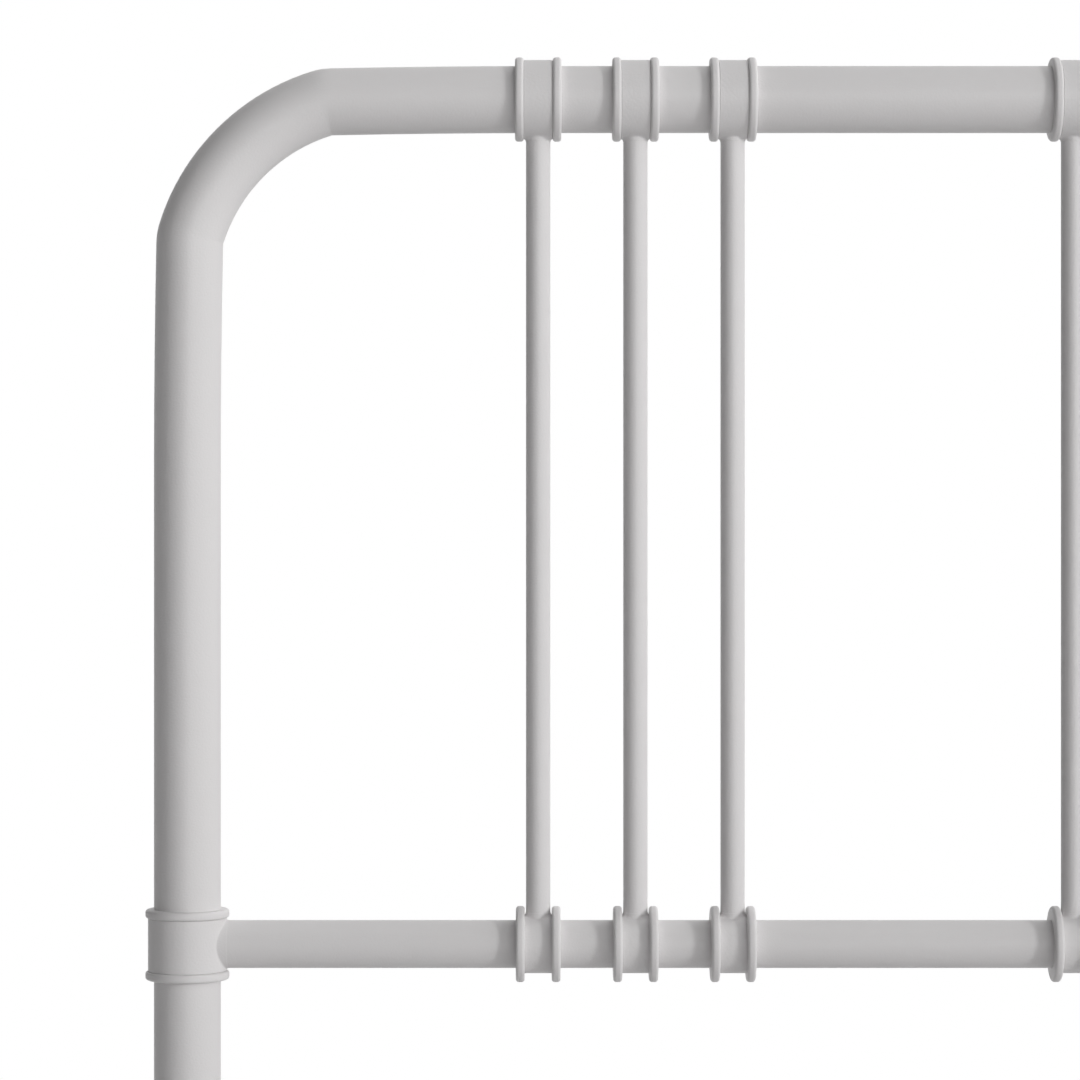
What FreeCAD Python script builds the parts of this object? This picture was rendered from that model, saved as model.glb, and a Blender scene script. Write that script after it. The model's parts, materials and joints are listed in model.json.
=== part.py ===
import FreeCAD, Part
import math
import os
from FreeCAD import Rotation, Vector

# Metal bed frame for a 1524 x 2032 mm mattress: two arched tube panels with cast collars,
# bolted side rails, a centre rail on three levelling legs, and screwed-down steel slats.
# Millimetres. X runs across the bed, +Y towards the headboard, +Z up from the floor.

# Overall
POST_X = 758.4          # bed centre line to each post's axis
PANEL_Y = 1050.0        # bed centre to the middle plane of each panel
HEAD_RAIL_Z = 1154.3    # floor to the axis of the headboard's top rail
HEAD_BAR_Z = 502.8      # floor to the axis of the headboard's crossbar
FOOT_RAIL_Z = 630.0     # the same two heights on the footboard
FOOT_BAR_Z = 345.0
DECK_Z = 309.0          # floor to the top of the slats

# Round tubes of the panels
POST_OD = 51.4
POST_WALL = 1.5
BAR_OD = 36.8
BAR_WALL = 1.5
SPINDLE_OD = 18.8
SPINDLE_WALL = 1.2

# Corner of an arch, radii to the tube's axis. The main bend has a tight set at each end,
# and beyond it the tube leans out a little before it runs straight.
BEND_RADIUS = 152.9
SET_RADIUS = 30.0
SET_DEGREES = 16.3
LEAN_RADIUS = 8000.0
LEAN_DEGREES = 1.2

# Spindles stand in clusters of three
CLUSTER_X = 412.8       # bed centre line to the middle spindle of a side cluster
SPINDLE_PITCH = 75.0

# Cast collars: a plain band between two rounded beads
BEAD_WIDTH = 6.7
BEAD_EDGE = 2.3         # rounding of a bead's rim
RAIL_COLLAR_LENGTH = 35.7
RAIL_BAND_OD = 60.6
RAIL_BEAD_OD = 64.6
BAR_COLLAR_LENGTH = 34.3
BAR_BAND_OD = 44.7
BAR_BEAD_OD = 58.4
TEE_LENGTH = 54.2
SPINDLE_FILLET = 2.2    # root of a casting's socket for a spindle
BAR_FILLET = 1.2        # root of a tee casting's socket for the crossbar
SOCKET_WALL = 0.5       # thickness at a socket's mouth
SOCKET_MOUTH = 0.3      # height of the mouth above its fillet

# Clearances
CAST_FIT = 0.15         # radial, casting on tube
SEAT_GAP = 0.1          # notched tube end to the tube it is joined to
PLUG_FIT = 0.1          # plug or spigot inside a tube, each side
BOLT_FIT = 0.25         # radial, bolt in a drilled hole
THREAD_FIT = 0.06       # radial, stud in its threaded insert
SWIVEL_FIT = 0.3        # stud's button end in its pad, all round
HOOK_FIT = 0.3          # hook lip behind the panel's lower rail
SLAT_END_GAP = 3.0      # slat's end to the side rail

# Feet of the posts
FOOT_CAP_HEIGHT = 8.0
FOOT_CAP_RIM = 1.0      # how far the cap stands out past the post
FOOT_PLUG_DEPTH = 22.0
FOOT_PLUG_WALL = 2.5
FOOT_CAP_EDGE = 2.0

# Side rails, rectangular tube
RAIL_HEIGHT = 50.0
RAIL_WIDTH = 25.0
RAIL_WALL = 1.5
RAIL_CORNER = 3.0
RAIL_BELOW_DECK = 4.0   # slat tops stand this far above the rail tops

# Slat ledge, steel angle with its flange on top, and the quiet tape on it
LEDGE_FLANGE = 25.0
LEDGE_LEG = 25.0
LEDGE_THICKNESS = 2.0
TAPE_THICKNESS = 1.0
TAPE_MARGIN = 2.5

# Rail-to-post joint
SADDLE_THICKNESS = 8.0  # least metal between post and rail end
SPIGOT_DEPTH = 22.0
JOINT_BOLT_D = 8.0
JOINT_BOLT_SPACING = 28.0
JOINT_BOLT_BITE = 14.0  # bolt length inside the spigot
JOINT_HEAD_D = 14.0
JOINT_HEAD_HEIGHT = 4.4
JOINT_SOCKET_AF = 5.0
JOINT_SOCKET_DEPTH = 2.6
MOON_WASHER_D = 18.0
MOON_WASHER_THICKNESS = 2.5

# Lower rail of each panel, rectangular tube
LOWER_RAIL_HEIGHT = 40.0
LOWER_RAIL_WIDTH = 20.0
LOWER_RAIL_WALL = 1.5
LOWER_RAIL_CORNER = 2.0
LOWER_RAIL_TOP_Z = 290.0

# Slats, rectangular tube
SLAT_COUNT = 13
SLAT_PITCH = 158.0
SLAT_WIDTH = 38.0
SLAT_HEIGHT = 12.0
SLAT_WALL = 1.0
SLAT_CORNER = 2.0
SLAT_CAP_FACE = 2.0
SLAT_CAP_DEPTH = 12.0
SLAT_SCREW_D = 5.5
SLAT_SCREW_HEAD_AF = 8.0
SLAT_SCREW_HEAD_HEIGHT = 4.0
SLAT_SCREW_WASHER_D = 11.0
SLAT_SCREW_WASHER_THICKNESS = 1.0
SLAT_SCREW_BITE = 6.0

# Centre rail and the hooks at its ends
CENTRE_HEIGHT = 40.0
CENTRE_WIDTH = 20.0
CENTRE_WALL = 1.5
CENTRE_CORNER = 2.0
HOOK_THICKNESS = 3.0
HOOK_WIDTH = 64.0
HOOK_LIP = 24.0         # height of the lip behind the lower rail
HOOK_BOLT_X = 22.0
SMALL_BOLT_D = 6.0
SMALL_HEAD_AF = 10.0
SMALL_HEAD_HEIGHT = 4.0
SMALL_NUT_HEIGHT = 5.0
SMALL_BOLT_END = 2.0    # thread showing past a nut

# Centre legs
LEG_PITCH = 560.0
LEG_SIDE = 25.0
LEG_WALL = 1.5
LEG_CORNER = 2.0
LEG_PLATE_LENGTH = 90.0
LEG_PLATE_WIDTH = 40.0
LEG_PLATE_THICKNESS = 4.0
LEG_PLATE_CORNER = 6.0
LEG_BOLT_SPACING = 62.0
LEG_BOLT_BITE = 12.0    # bolt length inside the centre rail

# Levelling feet
LEVELLER_UP = 10.0      # how far a foot winds in from where it stands
LEVELLER_DOWN = 6.0     # and how far it winds out
LEVELLER_STOP = 0.5     # hex to insert with the foot wound right in
INSERT_FLANGE = 3.0
INSERT_DEPTH = 18.0
STUD_D = 10.0
STUD_HEX_AF = 17.0
STUD_HEX_HEIGHT = 5.0
STUD_SPARE = 4.0        # thread past the insert with the foot wound right out
BUTTON_D = 16.0
BUTTON_HEIGHT = 3.0
PAD_D = 44.0
PAD_FLOOR = 4.0         # plastic below the button
PAD_EDGE_HEIGHT = 5.0
PAD_NECK_D = 24.0
PAD_ROOF = 4.0          # plastic above the button
PAD_TO_HEX = 1.5

# Sizes that follow from the ones above
POST_R = POST_OD / 2
BAR_R = BAR_OD / 2
SPINDLE_R = SPINDLE_OD / 2
RAIL_TOP_Z = DECK_Z - RAIL_BELOW_DECK
RAIL_Z = RAIL_TOP_Z - RAIL_HEIGHT / 2
RAIL_END_Y = PANEL_Y - POST_R - SADDLE_THICKNESS
SLAT_BOTTOM_Z = DECK_Z - SLAT_HEIGHT
LEDGE_TOP_Z = SLAT_BOTTOM_Z - TAPE_THICKNESS
LEDGE_X = POST_X - RAIL_WIDTH / 2
SLAT_HALF_LENGTH = LEDGE_X - SLAT_END_GAP
SLAT_SCREW_X = LEDGE_X - LEDGE_FLANGE / 2
LOWER_RAIL_Z = LOWER_RAIL_TOP_Z - LOWER_RAIL_HEIGHT / 2
CENTRE_TOP_Z = SLAT_BOTTOM_Z - TAPE_THICKNESS
CENTRE_BOTTOM_Z = CENTRE_TOP_Z - CENTRE_HEIGHT
CENTRE_END_Y = PANEL_Y - LOWER_RAIL_WIDTH / 2 - HOOK_THICKNESS
LEG_TOP_Z = CENTRE_BOTTOM_Z - LEG_PLATE_THICKNESS
BUTTON_Z = PAD_FLOOR + SWIVEL_FIT
PAD_TOP_Z = BUTTON_Z + BUTTON_HEIGHT + SWIVEL_FIT + PAD_ROOF
STUD_HEX_Z = PAD_TOP_Z + PAD_TO_HEX
INSERT_Z = STUD_HEX_Z + STUD_HEX_HEIGHT + LEVELLER_UP + LEVELLER_STOP
LEG_BOTTOM_Z = INSERT_Z + INSERT_FLANGE
STUD_TOP_Z = LEG_BOTTOM_Z + INSERT_DEPTH + LEVELLER_DOWN + STUD_SPARE

X_AXIS = Vector(1, 0, 0)
Y_AXIS = Vector(0, 1, 0)
Z_AXIS = Vector(0, 0, 1)
CLUSTERS = {"left": -CLUSTER_X, "centre": 0.0, "right": CLUSTER_X}
ENDS = {"headboard": 1, "footboard": -1}


def rod(start, axis, length, radius):
    """Solid cylinder from a point along a unit axis."""
    return Part.makeCylinder(radius, length, start, axis)


def centred_rod(middle, axis, length, radius):
    """Solid cylinder with its middle at a point."""
    return rod(middle - axis * (length / 2), axis, length, radius)


def centred_tube(middle, axis, length, outer_d, wall):
    """Hollow round tube with its middle at a point."""
    outer = centred_rod(middle, axis, length, outer_d / 2)
    return outer.cut(centred_rod(middle, axis, length, outer_d / 2 - wall))


def centred_box(middle, size):
    """Box with its middle at a point."""
    return Part.makeBox(size.x, size.y, size.z, middle - size * 0.5)


def box_edges_along(box, axis):
    """Straight edges of a box that run along an axis."""
    return [e for e in box.Edges if abs(e.tangentAt(e.FirstParameter).dot(axis)) > 0.99]


def rounded_bar(middle, size, axis, corner):
    """Box with the four edges along one axis rounded."""
    box = centred_box(middle, size)
    return box.makeFillet(corner, box_edges_along(box, axis))


def box_tube(middle, size, axis, wall, corner):
    """Rectangular tube along X, Y or Z, open at both ends."""
    across = Vector(1 - axis.x, 1 - axis.y, 1 - axis.z)
    inner = size - across * (2 * wall)
    outer_bar = rounded_bar(middle, size, axis, corner)
    return outer_bar.cut(rounded_bar(middle, inner, axis, max(corner - wall, wall / 4)))


def hex_prism(start, axis, length, across_flats):
    """Hexagonal prism from a point along an axis."""
    corner_r = across_flats / math.sqrt(3)
    turn = Rotation(Z_AXIS, axis)
    corners = []
    for i in range(7):
        angle = math.radians(60 * i)
        flat = Vector(corner_r * math.cos(angle), corner_r * math.sin(angle), 0)
        corners.append(start + turn.multVec(flat))
    return Part.Face(Part.makePolygon(corners)).extrude(axis * length)


def mirrored_x(shape):
    """Copy on the other side of the bed's centre line."""
    return shape.mirror(Vector(0, 0, 0), X_AXIS)


def mirrored_y(shape):
    """Copy at the other end of the bed."""
    return shape.mirror(Vector(0, 0, 0), Y_AXIS)


def both_sides(shape):
    """A piece and its copy on the other side."""
    return [shape, mirrored_x(shape)]


def all_corners(shape):
    """A piece at each of the bed's four corners."""
    pair = both_sides(shape)
    return pair + [mirrored_y(s) for s in pair]


def corner_bends():
    """Bends of a corner in order, each a radius and the degrees it turns."""
    main_degrees = 90.0 - 2 * (SET_DEGREES + LEAN_DEGREES)
    half = [(LEAN_RADIUS, LEAN_DEGREES), (SET_RADIUS, SET_DEGREES)]
    return half + [(BEND_RADIUS, main_degrees)] + half[::-1]


def corner_reach():
    """How far a corner's bends carry the tube, the same sideways and up."""
    reach, heading = 0.0, 0.0
    for radius, turn in corner_bends():
        after = heading + math.radians(turn)
        reach += radius * (math.sin(after) - math.sin(heading))
        heading = after
    return reach


def arch_path(rail_z, y):
    """Centre line of an arch: up the left post, along the rail, down the right post."""
    reach = corner_reach()
    edges = []
    point = Vector(-POST_X, y, FOOT_CAP_HEIGHT)
    heading = 0.0

    def go(end, middle=None):
        nonlocal point
        curve = Part.Arc(point, middle, end) if middle else Part.LineSegment(point, end)
        edges.append(curve.toShape())
        point = end

    def bend(radius, turn):
        nonlocal heading
        centre = point + Vector(math.cos(heading), 0, -math.sin(heading)) * radius
        stops = []
        for share in (0.5, 1.0):
            angle = heading + math.radians(turn) * share
            stops.append(centre - Vector(math.cos(angle), 0, -math.sin(angle)) * radius)
        heading += math.radians(turn)
        go(stops[1], stops[0])

    go(Vector(-POST_X, y, rail_z - reach))
    for radius, turn in corner_bends():
        bend(radius, turn)
    go(Vector(POST_X - reach, y, rail_z))
    for radius, turn in corner_bends():
        bend(radius, turn)
    go(Vector(POST_X, y, FOOT_CAP_HEIGHT))
    return Part.Wire(edges)


def joint_bolt_heights():
    """Heights of the two bolts that hold a side rail's end to its post."""
    return (RAIL_Z - JOINT_BOLT_SPACING / 2, RAIL_Z + JOINT_BOLT_SPACING / 2)


def arch(rail_z, y):
    """Bent tube of a panel, drilled for the side rails' bolts."""
    path = arch_path(rail_z, y)
    skins = []
    for radius in (POST_R, POST_R - POST_WALL):
        ring = Part.Circle(Vector(-POST_X, y, FOOT_CAP_HEIGHT), Z_AXIS, radius).toShape()
        skins.append(path.makePipeShell([Part.Wire(ring)], True, True))
    tube = skins[0].cut(skins[1])
    for x in (-POST_X, POST_X):
        for z in joint_bolt_heights():
            hole_r = JOINT_BOLT_D / 2 + BOLT_FIT
            tube = tube.cut(centred_rod(Vector(x, y, z), Y_AXIS, 2 * POST_OD, hole_r))
    return tube


def post_gap_cutters(y, z, height):
    """Vertical cylinders that notch the ends of a bar to fit round the posts."""
    return [centred_rod(Vector(x, y, z), Z_AXIS, height, POST_R + SEAT_GAP)
            for x in (-POST_X, POST_X)]


def crossbar(bar_z, y):
    """Round bar between the posts, notched at both ends."""
    tube = centred_tube(Vector(0, y, bar_z), X_AXIS, 2 * POST_X, BAR_OD, BAR_WALL)
    for cutter in post_gap_cutters(y, bar_z, 2 * BAR_OD):
        tube = tube.cut(cutter)
    return tube


def lower_rail(y):
    """Rectangular rail between the posts at the height of the side rails."""
    size = Vector(2 * POST_X, LOWER_RAIL_WIDTH, LOWER_RAIL_HEIGHT)
    tube = box_tube(Vector(0, y, LOWER_RAIL_Z), size, X_AXIS, LOWER_RAIL_WALL, LOWER_RAIL_CORNER)
    for cutter in post_gap_cutters(y, LOWER_RAIL_Z, 2 * LOWER_RAIL_HEIGHT):
        tube = tube.cut(cutter)
    for x in (-HOOK_BOLT_X, HOOK_BOLT_X):
        hole_r = SMALL_BOLT_D / 2 + BOLT_FIT
        tube = tube.cut(centred_rod(Vector(x, y, LOWER_RAIL_Z), Y_AXIS, LOWER_RAIL_HEIGHT, hole_r))
    return tube


def spindle(x, y, rail_z, bar_z):
    """Thin upright tube, notched to the rail above and the crossbar below."""
    middle = Vector(x, y, (rail_z + bar_z) / 2)
    tube = centred_tube(middle, Z_AXIS, rail_z - bar_z, SPINDLE_OD, SPINDLE_WALL)
    for z, radius in ((rail_z, POST_R), (bar_z, BAR_R)):
        notch = centred_rod(Vector(x, y, z), X_AXIS, 2 * SPINDLE_OD, radius + SEAT_GAP)
        tube = tube.cut(notch)
    return tube


def cluster_positions(cluster_x):
    """Middles of a cluster's three spindles across the bed."""
    return [cluster_x + step * SPINDLE_PITCH for step in (-1, 0, 1)]


def socketed_band(length, band_r, socket_outer_r, fillet):
    """Band about the X axis with a filleted socket standing on it along +Z."""
    band = centred_rod(Vector(0, 0, 0), X_AXIS, length, band_r)
    height = band_r + fillet + SOCKET_MOUTH
    joined = band.fuse(rod(Vector(0, 0, 0), Z_AXIS, height, socket_outer_r))
    root = [e for e in joined.Edges if not isinstance(e.Curve, (Part.Line, Part.Circle))]
    return joined.makeFillet(fillet, root)


def collar(tube_r, length, band_od, bead_od, branch_r, fillet):
    """Casting about the X axis, a band between two beads, its socket facing +Z."""
    origin = Vector(0, 0, 0)
    socket_r = branch_r + CAST_FIT
    body = socketed_band(length - BEAD_WIDTH, band_od / 2, socket_r + SOCKET_WALL, fillet)
    for side in (-1, 1):
        middle = Vector(side * (length - BEAD_WIDTH) / 2, 0, 0)
        bead = centred_rod(middle, X_AXIS, BEAD_WIDTH, bead_od / 2)
        rims = [e for e in bead.Edges if isinstance(e.Curve, Part.Circle)]
        body = body.fuse(bead.makeFillet(BEAD_EDGE, rims))
    body = body.cut(rod(origin, Z_AXIS, band_od, socket_r))
    return body.cut(centred_rod(origin, X_AXIS, 2 * length, tube_r + CAST_FIT))


def placed(shape, where, turn=Rotation()):
    """Copy of a shape turned about the origin, then moved."""
    copy = shape.copy()
    copy.Placement = FreeCAD.Placement(where, turn).multiply(shape.Placement)
    return copy


def rail_collar():
    """Casting that joins a spindle to the top rail."""
    return collar(POST_R, RAIL_COLLAR_LENGTH, RAIL_BAND_OD, RAIL_BEAD_OD, SPINDLE_R,
                  SPINDLE_FILLET)


def bar_collar():
    """Casting that joins a spindle to the crossbar."""
    return collar(BAR_R, BAR_COLLAR_LENGTH, BAR_BAND_OD, BAR_BEAD_OD, SPINDLE_R, SPINDLE_FILLET)


def tee_collar():
    """Casting about the Z axis with its socket for the crossbar facing +X."""
    tee = collar(POST_R, TEE_LENGTH, RAIL_BAND_OD, RAIL_BEAD_OD, BAR_R, BAR_FILLET)
    return placed(tee, Vector(0, 0, 0), Rotation(Y_AXIS, 90))


def foot_cap(y):
    """Plastic cap plugged into the left post's open end."""
    base = rod(Vector(-POST_X, y, 0), Z_AXIS, FOOT_CAP_HEIGHT, POST_R + FOOT_CAP_RIM)
    rims = [e for e in base.Edges if isinstance(e.Curve, Part.Circle)]
    base = base.makeFillet(FOOT_CAP_EDGE, rims)
    plug_r = POST_R - POST_WALL - PLUG_FIT
    plug_at = Vector(-POST_X, y, FOOT_CAP_HEIGHT)
    plug = rod(plug_at, Z_AXIS, FOOT_PLUG_DEPTH, plug_r)
    plug = plug.cut(rod(plug_at, Z_AXIS, FOOT_PLUG_DEPTH, plug_r - FOOT_PLUG_WALL))
    return base.fuse(plug)


def panel(name, rail_z, bar_z):
    """All the pieces of the headboard or the footboard, by node name."""
    y = ENDS[name] * PANEL_Y
    on_rail, on_bar, tee = rail_collar(), bar_collar(), tee_collar()
    upside_down = Rotation(X_AXIS, 180)
    half_turn = Rotation(Z_AXIS, 180)
    pieces = {
        "arch": [arch(rail_z, y)],
        "crossbar": [crossbar(bar_z, y)],
        "lower_rail": [lower_rail(y)],
        "foot_caps": both_sides(foot_cap(y)),
        "left_tee_collar": [placed(tee, Vector(-POST_X, y, bar_z))],
        "right_tee_collar": [placed(tee, Vector(POST_X, y, bar_z), half_turn)],
    }
    for side, cluster_x in CLUSTERS.items():
        places = cluster_positions(cluster_x)
        pieces[f"{side}_spindles"] = [spindle(x, y, rail_z, bar_z) for x in places]
        pieces[f"{side}_rail_collars"] = [placed(on_rail, Vector(x, y, rail_z), upside_down)
                                          for x in places]
        pieces[f"{side}_bar_collars"] = [placed(on_bar, Vector(x, y, bar_z)) for x in places]
    return {f"{name}_{key}": solids for key, solids in pieces.items()}


def slat_ys():
    """Places of the slats along the bed."""
    return [(i - (SLAT_COUNT - 1) / 2) * SLAT_PITCH for i in range(SLAT_COUNT)]


def side_rail():
    """Left side rail."""
    size = Vector(RAIL_WIDTH, 2 * RAIL_END_Y, RAIL_HEIGHT)
    return box_tube(Vector(-POST_X, 0, RAIL_Z), size, Y_AXIS, RAIL_WALL, RAIL_CORNER)


def rail_saddle():
    """Left headboard saddle: hollowed to the post, with a spigot in the rail's end."""
    block_depth = POST_R + SADDLE_THICKNESS
    block = centred_box(Vector(-POST_X, PANEL_Y - block_depth / 2, RAIL_Z),
                        Vector(RAIL_WIDTH, block_depth, RAIL_HEIGHT))
    block = block.cut(centred_rod(Vector(-POST_X, PANEL_Y, RAIL_Z), Z_AXIS, 2 * RAIL_HEIGHT, POST_R))
    inset = 2 * (RAIL_WALL + PLUG_FIT)
    spigot = rounded_bar(Vector(-POST_X, RAIL_END_Y - SPIGOT_DEPTH / 2, RAIL_Z),
                         Vector(RAIL_WIDTH - inset, SPIGOT_DEPTH, RAIL_HEIGHT - inset),
                         Y_AXIS, RAIL_CORNER - RAIL_WALL)
    body = block.fuse(spigot)
    for z in joint_bolt_heights():
        body = body.cut(rod(Vector(-POST_X, PANEL_Y, z), -Y_AXIS,
                            POST_R + SADDLE_THICKNESS + SPIGOT_DEPTH, JOINT_BOLT_D / 2 + THREAD_FIT))
    return body


def moon_washer(z):
    """Half-moon washer that seats a bolt head on the left post of the headboard."""
    outer_y = PANEL_Y + POST_R + MOON_WASHER_THICKNESS
    axis_point = Vector(-POST_X, outer_y, z)
    disc = rod(axis_point, -Y_AXIS, POST_R, MOON_WASHER_D / 2)
    disc = disc.cut(centred_rod(Vector(-POST_X, PANEL_Y, z), Z_AXIS, 2 * MOON_WASHER_D, POST_R))
    return disc.cut(rod(axis_point, -Y_AXIS, POST_OD, JOINT_BOLT_D / 2 + BOLT_FIT))


def joint_bolt(z):
    """Socket-head bolt through the left post of the headboard into the rail's saddle."""
    seat = Vector(-POST_X, PANEL_Y + POST_R + MOON_WASHER_THICKNESS, z)
    head = rod(seat, Y_AXIS, JOINT_HEAD_HEIGHT, JOINT_HEAD_D / 2)
    crown = [e for e in head.Edges
             if isinstance(e.Curve, Part.Circle) and e.CenterOfMass.y > seat.y + JOINT_HEAD_HEIGHT / 2]
    head = head.makeFillet(JOINT_HEAD_HEIGHT / 2, crown)
    socket_at = seat + Y_AXIS * (JOINT_HEAD_HEIGHT - JOINT_SOCKET_DEPTH)
    head = head.cut(hex_prism(socket_at, Y_AXIS, JOINT_SOCKET_DEPTH, JOINT_SOCKET_AF))
    shank_length = MOON_WASHER_THICKNESS + 2 * POST_R + SADDLE_THICKNESS + JOINT_BOLT_BITE
    return head.fuse(rod(seat, -Y_AXIS, shank_length, JOINT_BOLT_D / 2))


def ledge():
    """Left slat ledge: an angle against the side rail, drilled for the slat screws."""
    length = 2 * (RAIL_END_Y - SPIGOT_DEPTH)
    flange = centred_box(Vector(-LEDGE_X + LEDGE_FLANGE / 2, 0, LEDGE_TOP_Z - LEDGE_THICKNESS / 2),
                         Vector(LEDGE_FLANGE, length, LEDGE_THICKNESS))
    leg = centred_box(Vector(-LEDGE_X + LEDGE_THICKNESS / 2, 0, LEDGE_TOP_Z - LEDGE_LEG / 2),
                      Vector(LEDGE_THICKNESS, length, LEDGE_LEG))
    angle = flange.fuse(leg).removeSplitter()
    for y in slat_ys():
        at = Vector(-SLAT_SCREW_X, y, LEDGE_TOP_Z)
        angle = angle.cut(centred_rod(at, Z_AXIS, 4 * LEDGE_THICKNESS, SLAT_SCREW_D / 2 + BOLT_FIT))
    return angle


def tape_strip(x, y, width):
    """Strip of rubber tape between a slat and the rail or ledge below it."""
    middle = Vector(x, y, SLAT_BOTTOM_Z - TAPE_THICKNESS / 2)
    return centred_box(middle, Vector(width, SLAT_WIDTH, TAPE_THICKNESS))


def ledge_tape(y):
    """Strip on the left ledge, with a hole for the slat's screw."""
    strip = tape_strip(-SLAT_SCREW_X, y, LEDGE_FLANGE - 2 * TAPE_MARGIN)
    at = Vector(-SLAT_SCREW_X, y, LEDGE_TOP_Z)
    return strip.cut(rod(at, Z_AXIS, TAPE_THICKNESS, SLAT_SCREW_D / 2 + BOLT_FIT))


def slat(y):
    """One steel slat across the bed, drilled underneath near each end."""
    size = Vector(2 * (SLAT_HALF_LENGTH - SLAT_CAP_FACE), SLAT_WIDTH, SLAT_HEIGHT)
    tube = box_tube(Vector(0, y, DECK_Z - SLAT_HEIGHT / 2), size, X_AXIS, SLAT_WALL, SLAT_CORNER)
    for x in (-SLAT_SCREW_X, SLAT_SCREW_X):
        at = Vector(x, y, SLAT_BOTTOM_Z - SLAT_WALL)
        tube = tube.cut(rod(at, Z_AXIS, 3 * SLAT_WALL, SLAT_SCREW_D / 2 + THREAD_FIT))
    return tube


def slat_cap(y):
    """Plastic plug in a slat's left end, short enough to clear the screw."""
    z = DECK_Z - SLAT_HEIGHT / 2
    face_x = -SLAT_HALF_LENGTH + SLAT_CAP_FACE / 2
    face = rounded_bar(Vector(face_x, y, z), Vector(SLAT_CAP_FACE, SLAT_WIDTH, SLAT_HEIGHT),
                       X_AXIS, SLAT_CORNER)
    depth = min(SLAT_CAP_DEPTH, SLAT_HALF_LENGTH - SLAT_CAP_FACE - SLAT_SCREW_X - SLAT_SCREW_D)
    inset = 2 * (SLAT_WALL + PLUG_FIT)
    plug = rounded_bar(Vector(-SLAT_HALF_LENGTH + SLAT_CAP_FACE + depth / 2, y, z),
                       Vector(depth, SLAT_WIDTH - inset, SLAT_HEIGHT - inset),
                       X_AXIS, SLAT_CORNER - SLAT_WALL)
    return face.fuse(plug)


def slat_screw(y):
    """Washer-head screw driven up through the left ledge into a slat."""
    seat = Vector(-SLAT_SCREW_X, y, LEDGE_TOP_Z - LEDGE_THICKNESS)
    washer = rod(seat, -Z_AXIS, SLAT_SCREW_WASHER_THICKNESS, SLAT_SCREW_WASHER_D / 2)
    below = seat - Z_AXIS * SLAT_SCREW_WASHER_THICKNESS
    head = hex_prism(below, -Z_AXIS, SLAT_SCREW_HEAD_HEIGHT, SLAT_SCREW_HEAD_AF)
    shank_length = LEDGE_THICKNESS + TAPE_THICKNESS + SLAT_WALL + SLAT_SCREW_BITE
    return washer.fuse(head).fuse(rod(seat, Z_AXIS, shank_length, SLAT_SCREW_D / 2))


def leg_ys():
    """Places of the centre legs along the bed, from the foot end."""
    return {"foot_end": -LEG_PITCH, "middle": 0.0, "head_end": LEG_PITCH}


def leg_bolt_ys():
    """Places of the bolts that hold the legs' plates to the centre rail."""
    return [y + side * LEG_BOLT_SPACING / 2 for y in leg_ys().values() for side in (-1, 1)]


def centre_rail():
    """Rail down the middle of the bed, drilled for the legs."""
    size = Vector(CENTRE_WIDTH, 2 * CENTRE_END_Y, CENTRE_HEIGHT)
    middle = Vector(0, 0, CENTRE_TOP_Z - CENTRE_HEIGHT / 2)
    tube = box_tube(middle, size, Y_AXIS, CENTRE_WALL, CENTRE_CORNER)
    for y in leg_bolt_ys():
        at = Vector(0, y, CENTRE_BOTTOM_Z - CENTRE_WALL)
        tube = tube.cut(rod(at, Z_AXIS, 3 * CENTRE_WALL, SMALL_BOLT_D / 2 + THREAD_FIT))
    return tube


def centre_hook():
    """Bracket on the centre rail's head end, hooked over the panel's lower rail."""
    plate_bottom = LOWER_RAIL_TOP_Z - LOWER_RAIL_HEIGHT
    plate_top = LOWER_RAIL_TOP_Z + HOOK_THICKNESS
    back_y = PANEL_Y + LOWER_RAIL_WIDTH / 2 + HOOK_FIT
    plate = Part.makeBox(HOOK_WIDTH, HOOK_THICKNESS, plate_top - plate_bottom,
                         Vector(-HOOK_WIDTH / 2, CENTRE_END_Y, plate_bottom))
    tongue = Part.makeBox(HOOK_WIDTH, back_y + HOOK_THICKNESS - CENTRE_END_Y, HOOK_THICKNESS,
                          Vector(-HOOK_WIDTH / 2, CENTRE_END_Y, LOWER_RAIL_TOP_Z))
    lip = Part.makeBox(HOOK_WIDTH, HOOK_THICKNESS, HOOK_LIP + HOOK_THICKNESS,
                       Vector(-HOOK_WIDTH / 2, back_y, LOWER_RAIL_TOP_Z - HOOK_LIP))
    bracket = plate.fuse(tongue).fuse(lip).removeSplitter()
    for x in (-HOOK_BOLT_X, HOOK_BOLT_X):
        at = Vector(x, PANEL_Y, LOWER_RAIL_Z)
        bracket = bracket.cut(centred_rod(at, Y_AXIS, 4 * LOWER_RAIL_WIDTH,
                                          SMALL_BOLT_D / 2 + BOLT_FIT))
    return bracket


def hook_bolt():
    """Bolt and nut that hold a hook to the headboard's lower rail, left of the centre."""
    grip = 2 * HOOK_THICKNESS + LOWER_RAIL_WIDTH + HOOK_FIT
    seat = Vector(-HOOK_BOLT_X, CENTRE_END_Y, LOWER_RAIL_Z)
    head = hex_prism(seat, -Y_AXIS, SMALL_HEAD_HEIGHT, SMALL_HEAD_AF)
    shank = rod(seat, Y_AXIS, grip + SMALL_NUT_HEIGHT + SMALL_BOLT_END, SMALL_BOLT_D / 2)
    nut = hex_prism(seat + Y_AXIS * grip, Y_AXIS, SMALL_NUT_HEIGHT, SMALL_HEAD_AF)
    return [head.fuse(shank), nut.cut(rod(seat, Y_AXIS, 2 * grip, SMALL_BOLT_D / 2 + THREAD_FIT))]


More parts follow.
